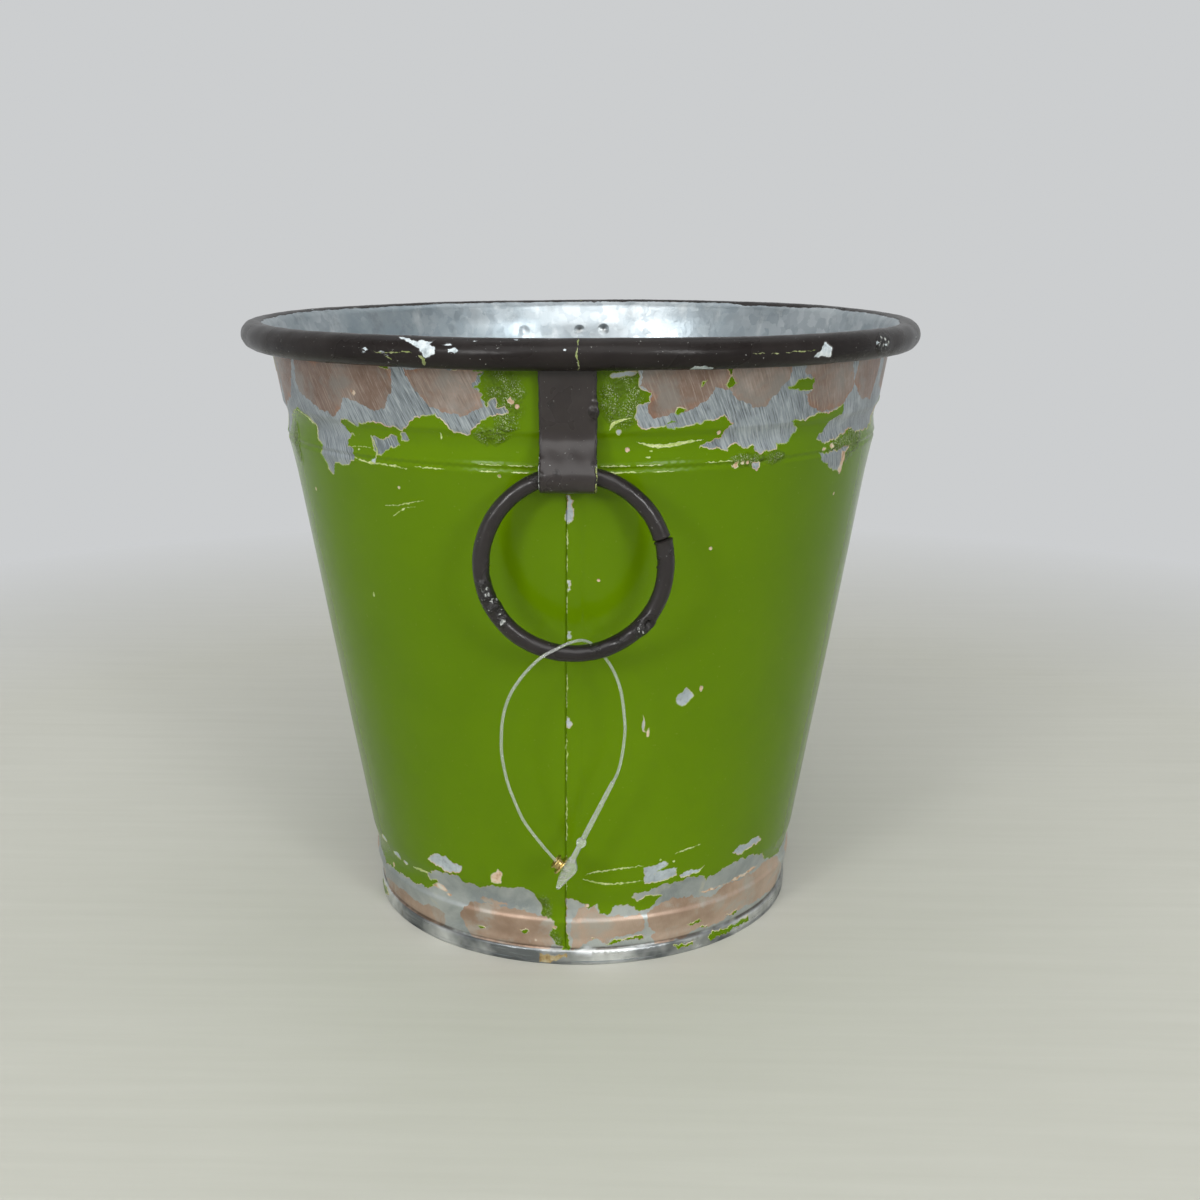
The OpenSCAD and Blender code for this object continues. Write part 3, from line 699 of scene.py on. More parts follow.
def green_paint():
    n = Nodes("green_paint")
    broad = n.noise(9.0, 3.0)
    fine = n.noise(140.0, 3.0)
    base = n.mix(n.level(broad, 0.35, 0.65), (0.098, 0.188, 0.0003), (0.114, 0.213, 0.0005))
    base = n.mix(n.level(fine, 0.45, 0.75, 0.0, 0.15), base, (0.085, 0.165, 0.001))
    dust = n.level(n.noise(900.0, 2.0, 0.5), 0.70, 0.78)
    base = n.mix(n.math("MULTIPLY", dust, 0.25), base, (0.26, 0.36, 0.08))
    blister = n.attribute("blister")
    bubble = n.cells(1100.0, feature="SMOOTH_F1")
    crumple = n.noise(420.0, 4.0, 0.6, distort=0.6)
    # Painted highlights: pale glints speckled over the blistered paint
    specks = n.math("MULTIPLY", n.level(n.noise(230.0, 3.0), 0.40, 0.56),
                    n.level(n.noise(2300.0, 2.0), 0.55, 0.64))
    specks = n.math("MULTIPLY", blister, specks)
    base = n.mix(n.math("MULTIPLY", blister, n.level(crumple, 0.42, 0.60, 0.25, 0.72)), base,
                 (0.072, 0.118, 0.012))
    base = n.mix(n.math("MULTIPLY", specks, 0.70), base, (0.58, 0.62, 0.42))
    peel = n.bump(n.noise(260.0, 2.0), 0.06, 0.0004)
    wave = n.bump(n.noise(38.0, 2.0), 0.10, 0.002, below=peel)
    rough = n.math("MULTIPLY", n.math("ADD", n.math("MULTIPLY", crumple, 1.4), bubble), blister)
    bumpy = n.bump(rough, 0.85, 0.0009, below=wave)
    gloss = n.math("ADD", n.level(n.noise(60.0, 4.0), 0.3, 0.7, 0.13, 0.21),
                   n.math("MULTIPLY", blister, 0.10))
    return n.set(color=base, rough=gloss, normal=bumpy, spec=0.12).mat


def scuffed_paint(name="scuffed_paint", bright=1.0):
    n = Nodes(name)
    grain = n.noise(700.0, 4.0, 0.65)
    base = n.mix(n.level(grain, 0.35, 0.62), shade(bright, (0.30, 0.42, 0.05)),
                 shade(bright, (0.62, 0.66, 0.34)))
    return n.set(color=base, rough=n.level(grain, 0.3, 0.7, 0.35, 0.6), normal=n.bump(grain, 0.4, 0.0004)).mat


def paint_edge():
    n = Nodes("paint_edge")
    part = n.noise(75.0, 3.0, 0.6)
    fine = n.noise(420.0, 3.0)
    base = n.ramp(part, [(0.36, (0.13, 0.25, 0.02)), (0.47, (0.38, 0.42, 0.15)), (0.56, (0.52, 0.44, 0.30)),
                         (0.66, (0.50, 0.30, 0.19)), (0.78, (0.20, 0.30, 0.05))])
    base = n.mix(n.level(fine, 0.55, 0.7, 0.0, 0.5), base, (0.62, 0.58, 0.46))
    return n.set(color=base, rough=0.55, normal=n.bump(fine, 0.3, 0.0003)).mat


def primer():
    n = Nodes("primer")
    grain = n.noise(380.0, 4.0, 0.6)
    base = n.ramp(grain, [(0.35, (0.42, 0.25, 0.15)), (0.5, (0.62, 0.47, 0.33)), (0.68, (0.58, 0.58, 0.52))])
    return n.set(color=base, rough=0.6, normal=n.bump(grain, 0.5, 0.0005)).mat


def ochre_stain():
    """Old size and dirt baked on the hem, an uneven brownish yellow."""
    n = Nodes("ochre_stain")
    grain = n.noise(300.0, 4.0, 0.65)
    base = n.ramp(grain, [(0.36, (0.20, 0.125, 0.045)), (0.5, (0.35, 0.26, 0.115)),
                          (0.64, (0.44, 0.40, 0.28))])
    return n.set(color=base, metal=0.15, rough=0.5, normal=n.bump(grain, 0.4, 0.0004)).mat


def near_foot(n, most):
    """How far a point lies down in the foot's smoother metal, up to most; its lighter colour there is partly
    painted reflection of the pale floor.
    """
    return n.level(n.xyz(n.coord)[2], 0.026, 0.045, most, 0.0)


def calmer_at_foot(n, marks, most):
    """The brush marks with their contrast taken down near the foot, where the metal is smoother."""
    keep = n.math("SUBTRACT", 1.0, near_foot(n, most))
    return n.math("ADD", n.math("MULTIPLY", n.math("SUBTRACT", marks, 0.5), keep), 0.5)


# Painted shade: the colour of the dark line in the groove above the hem
GROOVE_SHADE = (0.075, 0.060, 0.045)
CREVICE_Z = 0.0062                     # metres above the floor


def groove_shade(n):
    """Painted shade: a dark, patchy line in the narrow groove above the hem."""
    away = n.math("ABSOLUTE", n.math("SUBTRACT", n.xyz(n.coord)[2], CREVICE_Z))
    patchy = n.level(n.noise(90.0, 3.0), 0.35, 0.55, 0.25, 0.85)
    return n.math("MULTIPLY", n.level(away, 0.0003, 0.0010, 1.0, 0.0), patchy)


def bare_zinc():
    n = Nodes("bare_zinc")
    cross = calmer_at_foot(n, streaks(n, 24.0, 130.0, 2000.0), 0.75)
    fine = calmer_at_foot(n, streaks(n, 16.0, 300.0, 4200.0), 0.6)
    broad = n.noise(34.0, 6.0, 0.65)
    base = n.mix(n.level(broad, 0.34, 0.66), (0.160, 0.188, 0.202), (0.360, 0.405, 0.430))
    base = n.mix(n.level(cross, 0.52, 0.64, 0.0, 0.75), base, (0.47, 0.51, 0.53))
    base = n.mix(n.level(cross, 0.34, 0.47, 0.80, 0.0), base, (0.080, 0.095, 0.105))
    chalk = n.level(n.noise(52.0, 4.0, 0.7, distort=0.4), 0.58, 0.68, 0.0, 0.55)
    base = n.mix(chalk, base, (0.50, 0.54, 0.55))
    # Lighter tones toward the foot: smoother metal, and partly painted reflection of the pale floor
    smear = n.noise(44.0, 5.0, 0.65, distort=0.4)
    foot = n.mix(n.level(smear, 0.38, 0.62), (0.35, 0.385, 0.395), (0.60, 0.635, 0.62))
    foot = n.mix(n.level(n.noise(64.0, 4.0, 0.6, distort=0.6), 0.60, 0.66, 0.0, 0.7), foot,
                 (0.68, 0.67, 0.56))
    base = n.mix(near_foot(n, 0.80), base, foot)
    # Painted shade in the groove above the hem
    base = n.mix(groove_shade(n), base, GROOVE_SHADE)
    height = n.math("ADD", cross, n.math("MULTIPLY", fine, 0.5))
    return n.set(color=base, metal=n.math("ADD", near_foot(n, 0.35), 0.45),
                 rough=n.level(cross, 0.3, 0.7, 0.28, 0.46), normal=n.bump(height, 0.42, 0.0004)).mat


def pale_zinc():
    """Unbrushed zinc, in lone chips where the paint flaked off."""
    n = Nodes("pale_zinc")
    broad, fine = n.noise(90.0, 4.0, 0.6), n.noise(700.0, 3.0, 0.6)
    base = n.mix(n.level(broad, 0.35, 0.65), (0.34, 0.39, 0.42), (0.54, 0.60, 0.63))
    base = n.mix(n.level(fine, 0.52, 0.66, 0.0, 0.5), base, (0.24, 0.27, 0.29))
    return n.set(color=base, metal=0.25, rough=n.level(fine, 0.3, 0.7, 0.32, 0.46),
                 normal=n.bump(fine, 0.35, 0.0003)).mat


def hem_zinc():
    """The foot's rolled hem: bright, drawn out along its girth."""
    n = Nodes("hem_zinc")
    s, z = n.round_wall()
    drawn = n.noise(1.0, 5.0, 0.65, n.join(n.math("MULTIPLY", s, 45.0), n.math("MULTIPLY", z, 900.0), 0.0))
    cloud = n.noise(26.0, 4.0, 0.6)
    base = n.mix(n.level(cloud, 0.43, 0.60), (0.15, 0.165, 0.17), (0.76, 0.78, 0.77))
    base = n.mix(n.level(drawn, 0.54, 0.66, 0.0, 0.6), base, (0.30, 0.32, 0.33))
    dirt = n.level(n.noise(120.0, 4.0, 0.7), 0.60, 0.72, 0.0, 0.6)
    base = n.mix(dirt, base, (0.20, 0.17, 0.12))
    # Painted shade in the groove above the hem
    base = n.mix(groove_shade(n), base, GROOVE_SHADE)
    return n.set(color=base, metal=0.8, rough=n.level(drawn, 0.3, 0.7, 0.24, 0.40),
                 normal=n.bump(drawn, 0.25, 0.0003)).mat


def copper_wash():
    n = Nodes("copper_wash")
    cross = calmer_at_foot(n, streaks(n, 22.0, 110.0, 1800.0), 0.6)
    fine = calmer_at_foot(n, streaks(n, 12.0, 260.0, 3900.0), 0.5)
    broad = n.noise(30.0, 6.0, 0.65)
    base = n.ramp(broad, [(0.34, (0.155, 0.088, 0.058)), (0.45, (0.225, 0.152, 0.115)),
                          (0.56, (0.305, 0.240, 0.200)), (0.68, (0.410, 0.355, 0.315))])
    torn = n.noise(190.0, 4.0, 0.65)
    margin = n.math("ADD", n.attribute("margin"), n.level(torn, 0.3, 0.7, -0.5, 0.5))
    here = n.level(n.noise(70.0, 3.0, 0.6), 0.42, 0.58)
    base = n.mix(n.math("MULTIPLY", n.level(margin, 0.0, 0.6, 0.75, 0.0), here), base, (0.34, 0.155, 0.080))
    base = n.mix(n.level(cross, 0.52, 0.68, 0.0, 0.45), base, (0.50, 0.43, 0.37))
    base = n.mix(n.level(cross, 0.30, 0.44, 0.45, 0.0), base, (0.11, 0.08, 0.062))
    spots = n.level(n.noise(240.0, 3.0, 0.6), 0.66, 0.74, 0.0, 0.7)
    base = n.mix(spots, base, (0.42, 0.21, 0.12))
    # Lighter tones toward the foot: smoother metal, and partly painted reflection of the pale floor
    rosy = n.mix(n.level(n.noise(38.0, 4.0, 0.6), 0.36, 0.62), (0.40, 0.270, 0.190), (0.68, 0.520, 0.410))
    base = n.mix(near_foot(n, 0.78), base, rosy)
    thin = n.level(n.noise(58.0, 5.0, 0.65, distort=0.3), 0.49, 0.60, 0.0, 0.70)
    base = n.mix(thin, base, n.mix(near_foot(n, 1.0), (0.24, 0.225, 0.200), (0.50, 0.485, 0.44)))
    # Painted shade in the groove above the hem
    base = n.mix(groove_shade(n), base, (0.085, 0.055, 0.035))
    height = n.math("ADD", cross, n.math("MULTIPLY", fine, 0.4))
    return n.set(color=base, metal=n.math("ADD", near_foot(n, 0.30), 0.40),
                 rough=n.level(cross, 0.3, 0.7, 0.30, 0.46), normal=n.bump(height, 0.30, 0.0004)).mat


def galvanised(name, bright):
    """Spangled zinc: its nodes, colour, roughness and relief."""
    n = Nodes(name)
    push = n.vmath("SUBTRACT", n.noise(170.0, 3.0, color=True), (0.5, 0.5, 0.5))
    warp = n.vmath("MULTIPLY", push, (0.007, 0.007, 0.007))
    cell = n.cells(250.0, n.vmath("ADD", n.coord, warp), out="Color")
    tone, tint, _ = n.xyz(cell)
    crystal = n.level(tone, 0.0, 1.0)
    cloud = n.noise(20.0, 4.0, 0.6)
    base = n.mix(crystal, shade(bright, (0.40, 0.45, 0.48)), shade(bright, (0.58, 0.63, 0.65)))
    base = n.mix(n.level(cloud, 0.38, 0.62, 0.0, 0.85), base, shade(bright, (0.30, 0.365, 0.40)))
    smear = n.noise(1.0, 4.0, 0.6, n.vmath("MULTIPLY", n.coord, (110.0, 110.0, 38.0)))
    base = n.mix(n.level(smear, 0.58, 0.7, 0.0, 0.5), base, shade(bright, (0.74, 0.78, 0.78)))
    dirt = n.level(n.noise(65.0, 5.0, 0.7), 0.56, 0.70, 0.0, 0.55)
    base = n.mix(dirt, base, (0.19, 0.215, 0.225))
    height = n.math("ADD", n.math("MULTIPLY", tint, 0.2), n.noise(75.0, 4.0))
    uneven = n.math("ADD", n.math("MULTIPLY", tint, 0.4), n.math("MULTIPLY", cloud, 0.6))
    rough = n.level(uneven, 0.25, 0.75, 0.30, 0.45)
    return n, base, rough, n.bump(height, 0.28, 0.0013)


# Weld dimples inside the far wall: place in metres and depth
INNER_DIMPLES = [((-0.005, 0.114, 0.2155), 1.0), ((0.006, 0.114, 0.216), 1.0), ((-0.03, 0.11, 0.2155), 0.3)]


def inside_metal():
    n, base, rough, bump = galvanised("inside_metal", 0.85)
    for spot, deep in INNER_DIMPLES:
        away = n.vmath("DISTANCE", n.coord, spot)
        base = n.mix(n.level(away, 0.0008, 0.0022, 0.7 * deep, 0.0), base, (0.13, 0.12, 0.11))
        bump = n.bump(n.level(away, 0.0, 0.0028, 0.0, 1.0), 0.8 * deep, 0.0016, below=bump)
    return n.set(color=base, metal=0.75, rough=rough, normal=bump).mat


def bottom_metal():
    n, base, rough, bump = galvanised("bottom_metal", 0.9)
    return n.set(color=base, metal=0.7, rough=rough, normal=bump).mat


def brown_paint(name, bright, spec):
    n = Nodes(name)
    broad = n.noise(30.0, 4.0)
    fine = n.noise(420.0, 4.0, 0.6)
    base = n.mix(n.level(broad, 0.35, 0.65), shade(bright, (0.021, 0.0165, 0.0155)),
                 shade(bright, (0.034, 0.028, 0.026)))
    base = n.mix(n.level(n.noise(110.0, 5.0, 0.6), 0.50, 0.75, 0.0, 0.35), base,
                 shade(bright, (0.056, 0.048, 0.045)))
    specks = n.level(n.noise(1500.0, 1.0, 0.4), 0.76, 0.80)
    base = n.mix(n.math("MULTIPLY", specks, 0.8), base, (0.42, 0.42, 0.40))
    wear = n.attribute("wear")
    torn = n.noise(760.0, 4.0, 0.65)
    chip = n.level(n.math("ADD", n.math("MULTIPLY", wear, 0.62), n.math("MULTIPLY", torn, 0.75)), 0.74, 0.77)
    base = n.mix(n.math("MULTIPLY", wear, 1.6, clamp=True), base, (0.009, 0.008, 0.007))
    metal = n.mix(n.level(fine, 0.4, 0.6), (0.20, 0.21, 0.20), (0.56, 0.58, 0.55))
    base = n.mix(chip, base, metal)
    old_paint = n.math("ADD", n.math("MULTIPLY", n.attribute("yellow"), 0.6), n.math("MULTIPLY", torn, 0.6))
    base = n.mix(n.level(old_paint, 0.68, 0.76), base, (0.34, 0.38, 0.12))
    peel = n.bump(n.noise(170.0, 2.0), 0.16, 0.0006)
    rough_up = n.bump(n.math("MULTIPLY", torn, wear), 0.9, 0.0016, below=peel)
    rough = n.math("SUBTRACT", n.level(broad, 0.3, 0.7, 0.22, 0.34), n.math("MULTIPLY", wear, 0.20))
    return n.set(color=base, rough=rough, normal=n.bump(chip, 0.6, -0.0005, below=rough_up), spec=spec).mat


def white_rust():
    n = Nodes("white_rust")
    grain = n.noise(330.0, 4.0, 0.65)
    base = n.ramp(grain, [(0.34, (0.30, 0.35, 0.37)), (0.48, (0.56, 0.63, 0.66)), (0.62, (0.74, 0.79, 0.80))])
    return n.set(color=base, metal=0.15, rough=0.5, normal=n.bump(grain, 0.8, 0.0009)).mat


def rim_edge():
    n = Nodes("rim_edge")
    grain = n.noise(200.0, 4.0, 0.6)
    base = n.ramp(grain, [(0.45, (0.014, 0.011, 0.010)), (0.60, (0.050, 0.044, 0.040)),
                          (0.72, (0.20, 0.20, 0.18))])
    return n.set(color=base, rough=0.4, normal=n.bump(grain, 0.3, 0.0003)).mat


def clear_plastic():
    n = Nodes("clear_plastic")
    cloud = n.noise(900.0, 3.0)
    base = n.mix(n.level(cloud, 0.35, 0.65), (0.90, 0.92, 0.88), (0.97, 0.98, 0.95))
    return n.set(color=base, rough=n.level(cloud, 0.3, 0.7, 0.05, 0.15), trans=0.80, ior=1.46,
                 normal=n.bump(cloud, 0.15, 0.0003)).mat


def brass():
    n = Nodes("brass")
    grain = n.noise(800.0, 4.0, 0.6)
    base = n.mix(n.level(grain, 0.35, 0.7), (0.64, 0.51, 0.21), (0.42, 0.31, 0.11))
    tarnish = n.level(n.noise(260.0, 3.0), 0.58, 0.70, 0.0, 0.7)
    base = n.mix(tarnish, base, (0.09, 0.055, 0.025))
    return n.set(color=base, metal=1.0, rough=n.level(grain, 0.3, 0.7, 0.18, 0.36),
                 normal=n.bump(grain, 0.2, 0.0003)).mat


GREEN, SCUFF, EDGE, PRIMER = green_paint(), scuffed_paint(), paint_edge(), primer()
ZINC, COPPER, INSIDE, BOTTOM = bare_zinc(), copper_wash(), inside_metal(), bottom_metal()
# One brown paint in three copies: the rim's and the ring's are darkened, painted shade, and the strap's is
# lightened, painted light
RIM_BROWN, STRAP_BROWN = brown_paint("rim_brown", 0.58, 0.14), brown_paint("strap_brown", 1.06, 0.36)
RING_BROWN, OLD_YELLOW = brown_paint("ring_brown", 0.62, 0.36), scuffed_paint("old_yellow", 0.48)
WHITE, RIM_EDGE, OCHRE = white_rust(), rim_edge(), ochre_stain()
PALE, HEM = pale_zinc(), hem_zinc()
CLEAR, BRASS = clear_plastic(), brass()

# ---------------------------------------------------------------- the tag's loop, a free cord
LOOP_D = 0.001
LOOP_ROUTE = [
    (14, -107.5, 80.7), (15.5, -108, 84), (16.8, -108.6, 89), (17.6, -109.2, 94.5), (18.1, -110, 100.5),
    (17.8, -110.7, 105.5), (17.3, -111.3, 110.5), (16.4, -111.9, 115.5), (14.7, -112.4, 120.5),
    (12.6, -112.8, 124.5), (10, -113, 128), (7.4, -113.2, 130.6), (4.6, -114.5, 132.3),
    (1.4, -116.9, 132.6), (-1.6, -119.3, 132), (-4.6, -120.7, 130.8), (-8.4, -121, 128.7),
    (-12.2, -120.2, 125), (-15.8, -119, 120.5), (-18.9, -117.6, 115.3), (-21, -116.3, 109.8),
    (-22.2, -114.9, 104), (-22.7, -113.6, 98.5), (-22.8, -112.3, 93), (-22.2, -110.8, 86.8),
    (-21.1, -109.4, 80.7), (-19.3, -108, 74.4), (-16.8, -106.3, 67.2), (-14, -105.2, 62),
    (-10.9, -104.2, 57.3), (-8, -103.5, 53.2), (-5.4, -103.1, 50), (-2.8, -102.9, 47.4)]


def through(points, steps):
    """A smooth line through the points."""
    p = np.array(points, float)
    p = np.concatenate([p[:1], p, p[-1:]])
    out = []
    for i in range(1, len(p) - 2):
        for t in np.arange(steps) / steps:
            out.append(0.5 * (2 * p[i] + t * (p[i + 1] - p[i - 1])
                              + t * t * (2 * p[i - 1] - 5 * p[i] + 4 * p[i + 1] - p[i + 2])
                              + t ** 3 * (3 * p[i] - p[i - 1] - 3 * p[i + 1] + p[i + 2])))
    out.append(p[-2])
    return np.array(out)


loop_line = through(LOOP_ROUTE, 4) * MM
loop_data = bpy.data.curves.new("tag_filament", "CURVE")
loop_data.dimensions = "3D"
loop_data.bevel_depth = LOOP_D / 2
loop_data.bevel_resolution = 4
loop_data.use_fill_caps = True
spline = loop_data.splines.new("POLY")
spline.points.add(len(loop_line) - 1)
for point, at in zip(spline.points, loop_line):
    point.co = (*at, 1.0)
spline.use_smooth = True
loop_data.materials.append(CLEAR)
tag_filament = link("tag_filament", loop_data)
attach(tag_filament, "front_handle")
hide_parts("tag_loop")


# ---------------------------------------------------------------- the bucket's shell
HEM_Z = 5.7                            # the top of the foot's hem
SEAM_STRETCH = (-4.5, 7.5)             # mm along the girth that hold only the lock seam's own points
MARGIN = 2.2                           # mm over which the copper's edge is browner


def base_of_wall(middle):
    return np.where(middle[:, 1] < HEM_Z, "hem", "green")


def seam_turn(z, off):
    """Turn in degrees of a point that lies off mm to the right of the seam's fold."""
    return math.degrees(math.asin((seam_left(z) + off) / float(np.interp(z, PROFILE_Z, PROFILE_R))))


def wall_patches():
    """The wall's patches from the tables, also turned to the back, and small seeded chips there."""
    rng = random.Random(41)
    made = []
    order = {"zinc": 0, "copper": 1, "green": 2, "ochre": 2, "pale": 3, "primer": 4}
    back = [(k, p) for k, p in FRONT if p[0][1] < 60 or p[0][1] > 170]
    todo = [(k, p, 0.0) for k, p in FRONT + SIDES] + [(k, p, 180.0) for k, p in back]
    for kind, points, turn_by in sorted(todo, key=lambda patch: order[patch[0]]):
        over = 360 if sum(t for t, _ in points) / len(points) + turn_by > 180 else 0
        pts = [((t + turn_by - over) * GIRTH, z) for t, z in points]
        made.append((kind, ragged(pts, rng, rough=0.24)))
    # The ridge strokes are worn paint and also painted highlight lines
    lines = SCUFFS + [(width, [(a, z), ((a + b) / 2, z), (b, z)]) for width, a, b, z in RIDGE_WEAR_AND_HIGHLIGHTS]
    lines += [(width, [(seam_turn(z, 0.15), z) for z in (top, (top + low) / 2, low)])
              for width, top, low in SEAM_SCUFFS]
    for width, line in lines:
        for turn_by in (0.0, 180.0):
            pts = through([(t + turn_by, z, 0) for t, z in line], 4)
            pts = [((p[0] - (360 if line[0][0] + turn_by > 180 else 0)) * GIRTH, p[1]) for p in pts]
            made.append(("scuff", ragged(stroke(pts, width, rng), rng, rough=0.25)))
    for turn, z, wide, tall, kind in CHIPS:
        made.append((kind, ragged(blob(turn * GIRTH, z, wide, tall, rng), rng)))
    for _ in range(34):
        turn = rng.uniform(85, 275)
        z = rng.choice((rng.uniform(30, 60), rng.uniform(60, 180), rng.uniform(165, 200)))
        size = rng.uniform(0.3, 1.5)
        pts = blob((((turn + 180) % 360) - 180) * GIRTH, z, size * rng.uniform(0.6, 2), size, rng)
        made.append((rng.choice(("zinc", "primer", "scuff", "zinc")), ragged(pts, rng)))
    return made


def hem_below(patches):
    """The patches with the foot's hem laid over them, apart from the paint left on it."""
    end = 180 * GIRTH - 3
    hem = [(-end, 1.0)] + [(x, HEM_Z) for x in np.linspace(-end, end, 2 * COLUMNS)] + [(end, 1.0)]
    low = [p for p in patches if p[0] in ("zinc", "copper")]
    return low + [("hem", hem)] + [p for p in patches if p[0] not in ("zinc", "copper")]


def seam_lines():
    """Rows of points that follow the lock seam's fold and flat."""
    lines = []
    zs = np.arange(6.4, NECK_Z, 0.9)
    for off in (-1.1, -0.36, -0.22, -0.1, 0.04, 0.5, 2.3, 4.4, 5.2, 6.0):
        lines.append([(seam_turn(z, off) * GIRTH, float(z)) for z in zs])
    return lines


def from_edges(x, z, patches):
    """How far each point lies from the outlines of the copper and green patches, 1 at MARGIN and beyond."""
    edges = [p for kind, outline in patches if kind in ("copper", "green") for p in outline]
    tree = kdtree.KDTree(len(edges))
    for i, p in enumerate(edges):
        tree.insert((*p, 0), i)
    tree.balance()
    return [min(1.0, tree.find((a, b, 0))[2] / MARGIN) for a, b in zip(x.tolist(), z.tolist())]


def fade(turn, z, spots):
    """How deep each point lies in the rough spots, from 0 to 1."""
    v = np.zeros(len(turn))
    for at, height, wide, tall in spots:
        d = np.hypot(((turn - at + 180) % 360 - 180) * GIRTH / wide, (z - height) / tall)
        v = np.maximum(v, np.clip((1.12 - d) / 0.3, 0, 1))
    return v


def write_attribute(obj, name, values):
    obj.data.attributes.new(name, "FLOAT", "POINT").data.foreach_set("value", np.asarray(values, np.float32))


def on_rim(turn, phi):
    """Skin coordinates of a place on the rim, phi in degrees round its section."""
    phi = phi - 360 if phi > 180 else phi
    return turn * RIM_GIRTH, math.radians(RIM_START - phi) * CURL_R


def rim_marks():
    """The brown paint's lower edge inside the rim, its chips, and small seeded ones."""
    rng = random.Random(7)
    inner = [(t, 122 + rng.uniform(-2.5, 2.5) + (14 if 126 < t < 147 else 0)) for t in range(-179, 180, 3)]
    band = [on_rim(t, p) for t, p in inner] + [on_rim(179, 175), on_rim(-179, 175)]
    marks = [("inside", ragged(band, rng, rough=0.1))]
    for kind, points in RIM_CHIPS:
        marks.append((kind, ragged([on_rim(t, p) for t, p in points], rng, step=0.4, rough=0.16)))
    for _ in range(46):
        turn = rng.uniform(-180, 180)
        if -70 < turn < 70 and rng.random() < 0.75:
            continue
        x, y = on_rim(turn, rng.uniform(-70, 110))
        size = rng.choice((0.2, 0.3, 0.45, 0.9))
        kind = rng.choice(("white", "white", "yellow"))
        marks.append((kind, ragged(blob(x, y, size * rng.uniform(1, 2.6), size, rng), rng, step=0.4)))
    return marks


